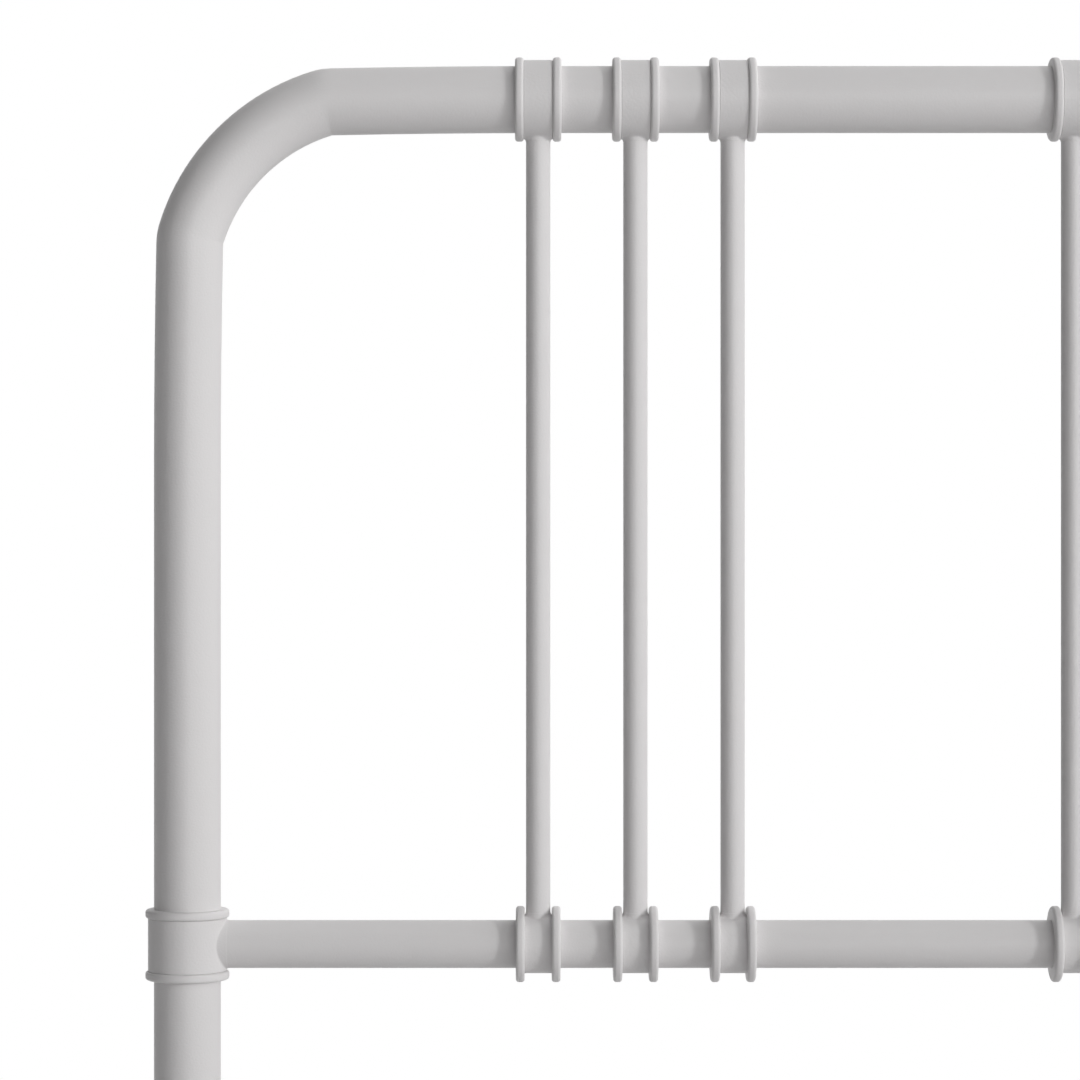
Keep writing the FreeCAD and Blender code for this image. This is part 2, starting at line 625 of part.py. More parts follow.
def centre_leg(y):
    """Square tube leg."""
    height = LEG_TOP_Z - LEG_BOTTOM_Z
    middle = Vector(0, y, LEG_BOTTOM_Z + height / 2)
    return box_tube(middle, Vector(LEG_SIDE, LEG_SIDE, height), Z_AXIS, LEG_WALL, LEG_CORNER)


def leg_plate(y):
    """Plate on top of a leg, drilled for its two bolts."""
    middle = Vector(0, y, LEG_TOP_Z + LEG_PLATE_THICKNESS / 2)
    plate = rounded_bar(middle, Vector(LEG_PLATE_WIDTH, LEG_PLATE_LENGTH, LEG_PLATE_THICKNESS),
                        Z_AXIS, LEG_PLATE_CORNER)
    for side in (-1, 1):
        at = Vector(0, y + side * LEG_BOLT_SPACING / 2, middle.z)
        plate = plate.cut(centred_rod(at, Z_AXIS, 2 * LEG_PLATE_THICKNESS,
                                      SMALL_BOLT_D / 2 + BOLT_FIT))
    return plate


def leg_bolt(y):
    """Bolt driven up through a leg's plate into the centre rail."""
    seat = Vector(0, y, LEG_TOP_Z)
    head = hex_prism(seat, -Z_AXIS, SMALL_HEAD_HEIGHT, SMALL_HEAD_AF)
    return head.fuse(rod(seat, Z_AXIS, LEG_PLATE_THICKNESS + LEG_BOLT_BITE, SMALL_BOLT_D / 2))


def leg_insert(y):
    """Threaded insert plugged into a leg's lower end."""
    flange = centred_box(Vector(0, y, INSERT_Z + INSERT_FLANGE / 2),
                         Vector(LEG_SIDE, LEG_SIDE, INSERT_FLANGE))
    flange = flange.makeFillet(LEG_CORNER, box_edges_along(flange, Z_AXIS))
    plug_side = LEG_SIDE - 2 * (LEG_WALL + PLUG_FIT)
    plug = centred_box(Vector(0, y, LEG_BOTTOM_Z + INSERT_DEPTH / 2),
                       Vector(plug_side, plug_side, INSERT_DEPTH))
    plug = plug.makeFillet(max(LEG_CORNER - LEG_WALL, LEG_WALL / 4), box_edges_along(plug, Z_AXIS))
    body = flange.fuse(plug)
    return body.cut(rod(Vector(0, y, 0), Z_AXIS, LEG_TOP_Z, STUD_D / 2 + THREAD_FIT))


def foot_stud(y):
    """Threaded stud of a levelling foot, with its hex and the button held in the pad."""
    button = rod(Vector(0, y, BUTTON_Z), Z_AXIS, BUTTON_HEIGHT, BUTTON_D / 2)
    shank = rod(Vector(0, y, BUTTON_Z), Z_AXIS, STUD_TOP_Z - BUTTON_Z, STUD_D / 2)
    hexagon = hex_prism(Vector(0, y, STUD_HEX_Z), Z_AXIS, STUD_HEX_HEIGHT, STUD_HEX_AF)
    return button.fuse(shank).fuse(hexagon)


def foot_pad(y):
    """Plastic pad of a levelling foot, with a socket for the stud's button."""
    neck_r = PAD_NECK_D / 2
    pad_r = PAD_D / 2
    outline = [Vector(0, y, 0), Vector(pad_r, y, 0), Vector(pad_r, y, PAD_EDGE_HEIGHT),
               Vector(neck_r, y, PAD_TOP_Z), Vector(0, y, PAD_TOP_Z), Vector(0, y, 0)]
    body = Part.Face(Part.makePolygon(outline)).revolve(Vector(0, y, 0), Z_AXIS, 360)
    socket = rod(Vector(0, y, BUTTON_Z - SWIVEL_FIT), Z_AXIS, BUTTON_HEIGHT + 2 * SWIVEL_FIT,
                 BUTTON_D / 2 + SWIVEL_FIT)
    neck = rod(Vector(0, y, BUTTON_Z), Z_AXIS, PAD_TOP_Z, STUD_D / 2 + SWIVEL_FIT)
    return body.cut(socket.fuse(neck))


def deck():
    """Side rails, centre rail, slats and the fasteners that join them, by node name."""
    ys = slat_ys()
    third = (SLAT_COUNT + 2) // 3
    groups = {"foot_end": ys[:third], "middle": ys[third:-third], "head_end": ys[-third:]}
    left_rail, left_ledge = side_rail(), ledge()
    heights = joint_bolt_heights()
    hook_parts = [copy for part in hook_bolt() for copy in all_corners(part)]
    pieces = {
        "left_side_rail": [left_rail],
        "right_side_rail": [mirrored_x(left_rail)],
        "left_slat_ledge": [left_ledge],
        "right_slat_ledge": [mirrored_x(left_ledge)],
        "rail_saddles": all_corners(rail_saddle()),
        "joint_washers": [copy for z in heights for copy in all_corners(moon_washer(z))],
        "joint_bolts": [copy for z in heights for copy in all_corners(joint_bolt(z))],
        "slat_end_caps": [copy for y in ys for copy in both_sides(slat_cap(y))],
        "slat_screws": [copy for y in ys for copy in both_sides(slat_screw(y))],
        "centre_rail": [centre_rail()],
        "centre_rail_hooks": [centre_hook(), mirrored_y(centre_hook())],
        "hook_bolts_and_nuts": hook_parts,
        "slat_tapes": [],
    }
    for y in ys:
        centre_tape = tape_strip(0.0, y, CENTRE_WIDTH - 2 * CENTRE_CORNER)
        pieces["slat_tapes"] += [centre_tape] + both_sides(ledge_tape(y))
    for name, places in groups.items():
        pieces[f"{name}_slats"] = [slat(y) for y in places]
    return pieces


def legs():
    """Centre legs and their levelling feet, by node name."""
    places = leg_ys()
    pieces = {
        "centre_leg_plates": [leg_plate(y) for y in places.values()],
        "centre_leg_bolts": [leg_bolt(y) for y in leg_bolt_ys()],
        "centre_leg_inserts": [leg_insert(y) for y in places.values()],
    }
    for name, y in places.items():
        pieces[f"{name}_leg"] = [centre_leg(y)]
        pieces[f"{name}_foot_stud"] = [foot_stud(y)]
        pieces[f"{name}_foot_pad"] = [foot_pad(y)]
    return pieces


def bed_frame():
    """Every node of the bed frame, by name."""
    nodes = panel("headboard", HEAD_RAIL_Z, HEAD_BAR_Z)
    nodes.update(panel("footboard", FOOT_RAIL_Z, FOOT_BAR_Z))
    nodes.update(deck())
    nodes.update(legs())
    return nodes


os.makedirs("parts", exist_ok=True)
for node, solids in bed_frame().items():
    shape = solids[0] if len(solids) == 1 else Part.makeCompound(solids)
    shape.exportStep(f"parts/{node}.step")
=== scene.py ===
"""Looks of a metal bed frame with arched tube panels, cast collars, bolted rails and steel slats.

Metres. X runs across the bed, +Y towards the headboard, +Z up from the floor.
"""

import json
import logging
import math
from dataclasses import dataclass, field
from enum import Enum
from typing import Any, Callable, Dict, List, Optional, Sequence, Tuple, Union

import bmesh
import bpy
from mathutils import Matrix, Vector


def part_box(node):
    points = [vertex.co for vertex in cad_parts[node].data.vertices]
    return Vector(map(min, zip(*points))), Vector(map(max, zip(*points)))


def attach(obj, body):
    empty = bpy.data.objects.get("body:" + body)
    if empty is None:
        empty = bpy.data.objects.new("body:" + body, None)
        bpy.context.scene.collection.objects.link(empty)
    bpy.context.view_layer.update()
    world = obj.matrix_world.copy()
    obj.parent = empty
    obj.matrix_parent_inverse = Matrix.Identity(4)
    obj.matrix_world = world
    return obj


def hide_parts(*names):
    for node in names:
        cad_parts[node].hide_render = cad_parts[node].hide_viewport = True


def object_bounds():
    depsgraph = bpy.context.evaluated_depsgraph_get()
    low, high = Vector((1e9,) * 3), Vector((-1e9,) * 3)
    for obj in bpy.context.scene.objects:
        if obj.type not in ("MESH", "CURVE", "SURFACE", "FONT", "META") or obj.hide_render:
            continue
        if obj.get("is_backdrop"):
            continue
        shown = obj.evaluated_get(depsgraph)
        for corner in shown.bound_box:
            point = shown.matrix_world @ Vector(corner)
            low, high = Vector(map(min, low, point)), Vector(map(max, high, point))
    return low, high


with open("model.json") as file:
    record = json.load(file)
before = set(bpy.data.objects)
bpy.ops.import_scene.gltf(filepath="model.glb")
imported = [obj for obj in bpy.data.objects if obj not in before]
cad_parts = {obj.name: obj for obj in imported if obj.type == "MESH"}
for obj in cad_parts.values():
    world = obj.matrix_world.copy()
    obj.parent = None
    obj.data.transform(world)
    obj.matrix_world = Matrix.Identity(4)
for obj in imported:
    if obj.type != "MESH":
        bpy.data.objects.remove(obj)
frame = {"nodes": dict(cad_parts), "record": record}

log = logging.getLogger("bed_frame")

Colour = Tuple[float, float, float]
Outline = List[Tuple[float, float]]

X_AXIS = Vector((1.0, 0.0, 0.0))
Y_AXIS = Vector((0.0, 1.0, 0.0))
Z_AXIS = Vector((0.0, 0.0, 1.0))
ORIGIN = Vector((0.0, 0.0, 0.0))
IN_PLACE = Matrix.Identity(4)
FULL_TURN = 2 * math.pi
MERGE_DISTANCE = 1e-6
BODY = "frame"
PANELS = ("headboard", "footboard")
CLUSTERS = ("left", "centre", "right")
LEGS = ("foot_end", "middle", "head_end")


class Slot(Enum):
    """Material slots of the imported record."""

    STEEL = "painted_steel"
    CASTING = "painted_casting"
    ZINC = "zinc_plated_steel"
    LIGHT_PLASTIC = "light_plastic"
    BLACK_PLASTIC = "black_plastic"
    TAPE = "rubber_tape"


class Crease(Enum):
    """Degrees past which a piece's edge stays sharp."""

    FINE = 25.0
    PLAIN = 38.0
    SOFT = 75.0


@dataclass(frozen=True)
class Extent:
    """Box that a CAD node fills at rest."""

    low: Vector
    high: Vector

    @classmethod
    def of(cls, node: str) -> "Extent":
        """Box of a node by name."""
        return cls(*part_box(node))

    @property
    def middle(self) -> Vector:
        """Centre of the box."""
        return (self.low + self.high) / 2

    @property
    def size(self) -> Vector:
        """Lengths of the box's sides."""
        return self.high - self.low

    @property
    def foot(self) -> Vector:
        """Middle of the box's lower side."""
        return Vector((self.middle.x, self.middle.y, self.low.z))

    @classmethod
    def of_each(cls, node: str) -> List["Extent"]:
        """Finds the separate solids in a node.

        Args:
            node: The node's name.

        Returns:
            Their boxes, in the order of the node's mesh.
        """
        bm = bmesh.new()
        bm.from_mesh(frame["nodes"][node].data)
        bmesh.ops.remove_doubles(bm, verts=bm.verts, dist=MERGE_DISTANCE)
        taken, boxes = set(), []
        for first in bm.verts:
            if first in taken:
                continue
            taken.add(first)
            solid = [first]
            for vert in solid:
                fresh = {edge.other_vert(vert) for edge in vert.link_edges} - taken
                taken |= fresh
                solid += fresh
            places = [vert.co for vert in solid]
            boxes.append(cls(Vector(map(min, *places)), Vector(map(max, *places))))
        bm.free()
        return boxes


# Shader maths


class Graph:
    """Node tree of one material, filled by a single generic method."""

    def __init__(self, tree: bpy.types.NodeTree) -> None:
        """Starts an empty tree."""
        self.tree = tree
        self.tree.nodes.clear()

    def node(self, kind: str, settings: Optional[Dict[str, Any]] = None,
             sockets: Optional[Dict[Union[str, int], Any]] = None,
             output: Union[str, int] = 0) -> "Channel":
        """Adds a node.

        Args:
            kind: Blender's name of the node's type.
            settings: The node's own properties, set first.
            sockets: Values or channels for its input sockets.
            output: Which output to hand back.

        Returns:
            The chosen output as a channel.
        """
        made = self.tree.nodes.new(kind)
        for name, value in (settings or {}).items():
            setattr(made, name, value)
        for name, value in (sockets or {}).items():
            if isinstance(value, Channel):
                self.tree.links.new(value.socket, made.inputs[name])
            else:
                made.inputs[name].default_value = value
        return Channel(self, made.outputs[output] if made.outputs else None)

    def place(self) -> "Channel":
        """Object coordinates, which are the part's own metres."""
        return self.node("ShaderNodeTexCoord", output="Object")

    def noise(self, size: float, octaves: float = 2.0) -> "Channel":
        """Noise from 0 to 1, with size metres from one swell to the next."""
        return self.node("ShaderNodeTexNoise", {},
                         {"Vector": self.place(), "Scale": 1.0 / size, "Detail": octaves})

    def blend(self, share: "Channel", first: Colour, second: Colour) -> "Channel":
        """Colour that runs from first to second as share goes from 0 to 1."""
        return self.node("ShaderNodeMix", {"data_type": "RGBA"},
                         {0: share, 6: (*first, 1.0), 7: (*second, 1.0)}, output=2)

    def bump(self, height: "Channel", depth: float) -> "Channel":
        """Normal that a height from 0 to 1, depth metres deep, gives the surface."""
        return self.node("ShaderNodeBump", {}, {"Distance": depth, "Height": height})

    def surface(self, shader: "Channel") -> None:
        """Ends the tree in the material's surface."""
        self.node("ShaderNodeOutputMaterial", {}, {"Surface": shader})

    def principled(self, sockets: Dict[str, Any]) -> None:
        """Ends the tree in a principled shader with these sockets."""
        self.surface(self.node("ShaderNodeBsdfPrincipled", {}, sockets))


class Channel:
    """An output socket in shader maths; an expression on it adds Math nodes."""

    def __init__(self, graph: Graph, socket: Optional[bpy.types.NodeSocket]) -> None:
        """Wraps a socket of a graph."""
        self.graph = graph
        self.socket = socket

    def _math(self, operation: str, first: Any, second: Any) -> "Channel":
        """Math node on two terms."""
        return self.graph.node("ShaderNodeMath", {"operation": operation}, {0: first, 1: second})

    def __add__(self, other: Any) -> "Channel":
        """Sum."""
        return self._math("ADD", self, other)

    def __sub__(self, other: Any) -> "Channel":
        """Difference."""
        return self._math("SUBTRACT", self, other)

    def __rsub__(self, other: Any) -> "Channel":
        """Difference from a number."""
        return self._math("SUBTRACT", other, self)

    def __mul__(self, other: Any) -> "Channel":
        """Product."""
        return self._math("MULTIPLY", self, other)

    def at_most(self, other: Any) -> "Channel":
        """The lesser of two."""
        return self._math("MINIMUM", self, other)

    def at_least(self, other: Any) -> "Channel":
        """The greater of two."""
        return self._math("MAXIMUM", self, other)

    def about(self, middle: float, change: float) -> "Channel":
        """Turns 0 to 1 into a run of change, half of it either side of the middle."""
        return (self - 0.5) * change + middle

    __radd__ = __add__
    __rmul__ = __mul__


# Finishes


@dataclass(frozen=True)
class Finish:
    """What every finish has: a material name and how it is filled."""

    name: str

    def material(self) -> bpy.types.Material:
        """Makes the finish's material at its first use.

        Returns:
            The material.
        """
        found = bpy.data.materials.get(self.name)
        if found is None:
            found = bpy.data.materials.new(self.name)
            found.use_nodes = True
            self.fill(Graph(found.node_tree))
        return found

    def fill(self, graph: Graph) -> None:
        """Builds the node tree."""
        raise NotImplementedError


@dataclass(frozen=True)
class PowderCoat(Finish):
    """Satin powder coat with a faint orange-peel skin, slightly uneven in tone and sheen."""

    colour: Colour = (0.727, 0.713, 0.714)
    tone_change: float = 0.010
    tone_size: float = 0.09
    roughness: float = 0.44
    roughness_change: float = 0.04
    specular: float = 0.17
    peel_size: float = 0.0016
    peel_depth: float = 0.00014
    grain_size: float = 0.0005
    grain_share: float = 0.25

    def fill(self, graph: Graph) -> None:
        """Builds the node tree.

        Args:
            graph: The material's tree.
        """
        tone = graph.noise(self.tone_size, octaves=3.0)
        lighter = tuple(c + self.tone_change for c in self.colour)
        darker = tuple(c - self.tone_change for c in self.colour)
        peel, grain = graph.noise(self.peel_size, octaves=1.5), graph.noise(self.grain_size, octaves=1.0)
        graph.principled({
            "Base Color": graph.blend(tone, darker, lighter),
            "Roughness": tone.about(self.roughness, self.roughness_change),
            "Specular IOR Level": self.specular,
            "Normal": graph.bump(peel + grain * self.grain_share, self.peel_depth),
        })


@dataclass(frozen=True)
class ZincPlate(Finish):
    """Bright zinc plate with a fine drawn grain and the odd milky patch."""

    colour: Colour = (0.50, 0.51, 0.525)
    patch_colour: Colour = (0.42, 0.43, 0.44)
    patch_size: float = 0.006
    roughness: float = 0.38
    roughness_change: float = 0.16
    grain_size: float = 0.0005
    grain_depth: float = 0.00002

    def fill(self, graph: Graph) -> None:
        """Builds the node tree.

        Args:
            graph: The material's tree.
        """
        patch = graph.noise(self.patch_size, octaves=3.0)
        graph.principled({
            "Base Color": graph.blend(patch, self.patch_colour, self.colour),
            "Metallic": 1.0,
            "Roughness": patch.about(self.roughness, self.roughness_change),
            "Normal": graph.bump(graph.noise(self.grain_size), self.grain_depth),
        })


@dataclass(frozen=True)
class MouldedPlastic(Finish):
    """Moulded plastic with a spark-eroded matt skin."""

    colour: Colour = (0.655, 0.642, 0.64)
    darkening: float = 0.93
    tone_size: float = 0.02
    roughness: float = 0.55
    roughness_change: float = 0.12
    specular: float = 0.4
    erosion_size: float = 0.0006
    erosion_depth: float = 0.00004

    def fill(self, graph: Graph) -> None:
        """Builds the node tree.

        Args:
            graph: The material's tree.
        """
        erosion = graph.noise(self.erosion_size, octaves=3.0)
        darker = tuple(c * self.darkening for c in self.colour)
        graph.principled({
            "Base Color": graph.blend(graph.noise(self.tone_size), darker, self.colour),
            "Roughness": erosion * self.roughness_change + self.roughness,
            "Specular IOR Level": self.specular,
            "Normal": graph.bump(erosion, self.erosion_depth),
        })


@dataclass(frozen=True)
class FoamRubber(Finish):
    """Black closed-cell rubber tape, dull and slightly dusty."""

    colour: Colour = (0.022, 0.022, 0.023)
    dust_colour: Colour = (0.055, 0.054, 0.052)
    dust_size: float = 0.012
    roughness: float = 0.75
    roughness_change: float = 0.15
    specular: float = 0.25
    cell_size: float = 0.0008
    cell_depth: float = 0.0001

    def fill(self, graph: Graph) -> None:
        """Builds the node tree.

        Args:
            graph: The material's tree.
        """
        dust = graph.noise(self.dust_size, octaves=3.0)
        graph.principled({
            "Base Color": graph.blend(dust, self.colour, self.dust_colour),
            "Roughness": dust * self.roughness_change + self.roughness,
            "Specular IOR Level": self.specular,
            "Normal": graph.bump(graph.noise(self.cell_size), self.cell_depth),
        })


FINISH_OF = {
    Slot.STEEL: PowderCoat("powder_coat"),
    Slot.CASTING: PowderCoat("powder_coat_on_casting", peel_size=0.0021, peel_depth=0.00018),
    Slot.ZINC: ZincPlate("zinc_plate"),
    Slot.LIGHT_PLASTIC: MouldedPlastic("light_plastic"),
    Slot.BLACK_PLASTIC: MouldedPlastic("black_plastic", colour=(0.028, 0.028, 0.03), roughness=0.5),
    Slot.TAPE: FoamRubber("rubber_tape"),
}


# Shaping

CORNER_STEPS = 4

# Weld beads: a ripple dips by a share of the bead's radius, and a line that rises by more than
# UPRIGHT_FROM of its length counts as upright.
WELD_SIDES = 12
RIPPLE_LENGTH = 0.0016
RIPPLE_RINGS = 5
RIPPLE_DIP = 0.07
UPRIGHT_FROM = 0.7

# Threads: places along a pitch, each with the share of the depth that it is sunk; points
# closer than a pitch over MERGES_A_PITCH become one.
THREAD_SECTION = ((0.0, 1), (0.125, 1), (0.4375, 0), (0.5625, 0), (0.875, 1), (1.0, 1))
MERGES_A_PITCH = 50

# Hexagons: the radius of the flat face is a share of the width across flats.
HEX_FACE_SHARE = 0.48
HEX_STEPS = 72


@dataclass(frozen=True)
class Thread:
    """Screw thread: its radius over the crests, pitch, depth and faces in a turn."""

    radius: float
    pitch: float
    depth: float
    steps: int


def arc(centre: Tuple[float, float], radius: float, start: float, end: float, steps: int) -> Outline:
    """Points of an arc in an outline's plane.

    Args:
        centre: Middle of the arc.
        radius: Its radius.
        start: First angle in degrees.
        end: Last angle in degrees.
        steps: How many straight steps it has.

    Returns:
        The points, both ends included.
    """
    turns = [math.radians(start + (end - start) * i / steps) for i in range(steps + 1)]
    return [(centre[0] + radius * math.cos(a), centre[1] + radius * math.sin(a)) for a in turns]


def rounded_loop(width: float, height: float, corner: float) -> Outline:
    """Closed outline of a rounded rectangle about the origin.

    Args:
        width: Length across.
        height: Length up.
        corner: Radius of its corners.

    Returns:
        The points, the first not repeated.
    """
    across, up = width / 2 - corner, height / 2 - corner
    centres = [(across, up), (-across, up), (-across, -up), (across, -up)]
    return [point for i, centre in enumerate(centres)
            for point in arc(centre, corner, 90.0 * i, 90.0 * (i + 1), CORNER_STEPS)]


def run_lengths(ends: Sequence[Vector]) -> List[float]:
    """Lengths of a line's straight runs."""
    return [(b - a).length for a, b in zip(ends, ends[1:])]


def evenly(ends: Sequence[Vector], count: int) -> List[Vector]:
    """Points at equal distances along a line of straight runs.

    Args:
        ends: Ends of the runs.
        count: How many points come back.

    Returns:
        The points, both ends of the line included.
    """
    lengths = run_lengths(ends)
    spacing = sum(lengths) / (count - 1)
    made, run, done = [], 0, 0.0
    for i in range(count):
        goal = spacing * i
        while run < len(lengths) - 1 and done + lengths[run] < goal:
            done += lengths[run]
            run += 1
        share = (goal - done) / lengths[run]
        made.append(ends[run].lerp(ends[run + 1], min(share, 1.0)))
    return made


class Form:
    """A mesh under construction, shaped with bmesh operators."""

    def __init__(self) -> None:
        """Starts empty."""
        self.bm = bmesh.new()

    def rod(self, start: Vector, end: Vector, radius: float, sides: int) -> None:
        """Closed round bar.

        Args:
            start: Middle of one end.
            end: Middle of the other.
            radius: The bar's radius.
            sides: Faces round it.
        """
        along = end - start
        turn = along.to_track_quat("Z", "Y").to_matrix().to_4x4()
        bmesh.ops.create_cone(self.bm, cap_ends=True, cap_tris=False, segments=sides, radius1=radius,
                              radius2=radius, depth=along.length,
                              matrix=Matrix.Translation((start + end) / 2) @ turn)

    def turned(self, outline: Outline, origin: Vector, axis: Vector, steps: int = 96) -> None:
        """Outline turned once about an axis.

        Args:
            outline: Points, each a radius and a place along the axis; the last joins the first
                unless both lie on the axis.
            origin: Where the axis starts.
            axis: Unit vector along X, Y or Z.
            steps: How many faces go round.
        """
        out = X_AXIS if axis.z else Z_AXIS
        verts = [self.bm.verts.new(origin + out * r + axis * a) for r, a in outline]
        closed = max(outline[0][0], outline[-1][0]) > MERGE_DISTANCE
        ends = verts[1:] + verts[:1] if closed else verts[1:]
        edges = [self.bm.edges.new(pair) for pair in zip(verts, ends)]
        bmesh.ops.spin(self.bm, geom=verts + edges, cent=origin, axis=axis, angle=FULL_TURN,
                       steps=steps, use_merge=True, use_duplicate=False)

    def wrapped(self, around: int, rings: int, place: Callable[[float, float], Vector]) -> None:
        """Grid bent into a skin and closed where its sides meet.

        Args:
            around: Faces round the skin.
            rings: Faces along it.
            place: Gives a point from its share of the way round and along, each 0 to 1.
        """
        half = 0.5
        grid = bmesh.ops.create_grid(self.bm, x_segments=around, y_segments=rings, size=half)
        for vert in grid["verts"]:
            vert.co = place(vert.co.x + half, vert.co.y + half)

    def weld(self, path: Sequence[Vector], radius: float, closed: bool = False) -> None:
        """Weld bead along a line, with the ripples that a torch leaves.

        Args:
            path: The joint's line.
            radius: The bead's radius at its ripples' crests.
            closed: Whether the bead runs all the way round.
        """
        ends = [*path, path[0]] if closed else path
        length = sum(run_lengths(ends))
        rings = RIPPLE_RINGS * max(2, round(length / RIPPLE_LENGTH))
        line = evenly(ends, rings + 1)

        def on_bead(turn: float, along: float) -> Vector:
            """Places a point of the bead's skin.

            Args:
                turn: Share of the way round.
                along: Share of the way along.

            Returns:
                The point.
            """
            i = round(along * rings)
            back = line[i - 1] if i else line[-2 if closed else 0]
            ahead = line[i + 1] if i < rings else line[1 if closed else -1]
            forward = (ahead - back).normalized()
            side = forward.cross(X_AXIS if abs(forward.z) >= UPRIGHT_FROM else Z_AXIS).normalized()
            swell = 1.0 - RIPPLE_DIP * (1.0 - math.cos(FULL_TURN * i / RIPPLE_RINGS))
            from_end = min(i, rings - i) / rings * length / radius
            taper = 1.0 if closed else math.sqrt(1.0 - max(0.0, 1.0 - from_end) ** 2)
            out = side * math.cos(turn * FULL_TURN) + side.cross(forward) * math.sin(turn * FULL_TURN)
            return line[i] + out * radius * swell * taper

        self.wrapped(WELD_SIDES, rings, on_bead)

    def close(self) -> None:
        """Fills the open ends."""
        bmesh.ops.holes_fill(self.bm, edges=[e for e in self.bm.edges if e.is_boundary])

    def cut(self, place: Vector, outward: Vector) -> None:
        """Cuts away what lies beyond a plane and closes the cut.

        Args:
            place: A point of the plane.
            outward: Its direction, towards what goes.
        """
        geom = list(self.bm.verts) + list(self.bm.edges) + list(self.bm.faces)
        bmesh.ops.bisect_plane(self.bm, geom=geom, plane_co=place, plane_no=outward, clear_outer=True,
                               dist=MERGE_DISTANCE / 10)
        self.close()

    def thread(self, low: Vector, high: Vector, size: Thread) -> None:
        """Upright screw thread between two points, cut flat at both ends.

        Args:
            low: Its lower end, on the axis.
            high: Its upper end.
            size: Its sizes.
        """
        rise, steps = Z_AXIS * size.pitch, size.steps
        start = low - rise
        verts = [self.bm.verts.new(start + X_AXIS * (size.radius - size.depth * sunk) + rise * place)
                 for place, sunk in THREAD_SECTION]
        edges = [self.bm.edges.new(pair) for pair in zip(verts, verts[1:])]
        turns = math.ceil((high - low).length / size.pitch) + 1
        bmesh.ops.spin(self.bm, geom=verts + edges, cent=start, axis=Z_AXIS, dvec=rise / steps,
                       angle=FULL_TURN * turns, steps=steps * turns, use_merge=False, use_duplicate=False)
        bmesh.ops.remove_doubles(self.bm, verts=self.bm.verts, dist=size.pitch / MERGES_A_PITCH)
        self.cut(low, -Z_AXIS)
        self.cut(high, Z_AXIS)

    def hexagon(self, low: Vector, across: float, height: float, chamfer: float) -> None:
        """Upright hexagon with turned chamfers.

        Args:
            low: Middle of its lower face.
            across: Flat to flat.
            height: Lower face to upper.
            chamfer: Height that a corner loses at either end.
        """
        corner, face = across / math.sqrt(3), across * HEX_FACE_SHARE
        self.turned([(0.0, 0.0), (face, 0.0), (corner, chamfer), (corner, height - chamfer),
                     (face, height), (0.0, height)], low, Z_AXIS, HEX_STEPS)
        bmesh.ops.remove_doubles(self.bm, verts=self.bm.verts, dist=MERGE_DISTANCE)
        for i in range(6):
            out = Matrix.Rotation(math.radians(60 * i), 3, "Z") @ Y_AXIS
            self.cut(low + out * across / 2, out)

    def stamp(self, pattern: "Form", place: Matrix = IN_PLACE) -> None:
        """Adds a copy of another form.

        Args:
            pattern: The form to copy.
            place: Where the copy goes.
        """
        mesh = bpy.data.meshes.new("pattern")
        pattern.bm.to_mesh(mesh)
        count = len(self.bm.verts)
        self.bm.from_mesh(mesh)
        self.bm.verts.ensure_lookup_table()
        bmesh.ops.transform(self.bm, matrix=place, verts=self.bm.verts[count:])
        bpy.data.meshes.remove(mesh)

    def piece(self, name: str, slot: Slot, stands_for: Sequence[str] = (), body: str = BODY,
              crease: Crease = Crease.PLAIN) -> None:
        """Closes the form, dresses it and hands it to its body.

        Args:
            name: The piece's name.
            slot: The record's slot whose finish it wears.
            stands_for: CAD nodes that it replaces.
            body: CAD body that it rides on.
            crease: Which of its edges stay sharp.
        """
        bmesh.ops.remove_doubles(self.bm, verts=self.bm.verts, dist=MERGE_DISTANCE)
        bmesh.ops.recalc_face_normals(self.bm, faces=self.bm.faces)
        for face in self.bm.faces:
            face.smooth = True
        mesh = bpy.data.meshes.new(name)
        self.bm.to_mesh(mesh)
        self.bm.free()
        mesh.set_sharp_from_angle(angle=math.radians(crease.value))
        mesh.materials.append(FINISH_OF[slot].material())
        made = bpy.data.objects.new(name, mesh)
        bpy.context.scene.collection.objects.link(made)
        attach(made, body)
        if stands_for:
            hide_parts(*stands_for)
        log.info("%s: %d faces", name, len(mesh.polygons))


# Sub-assemblies


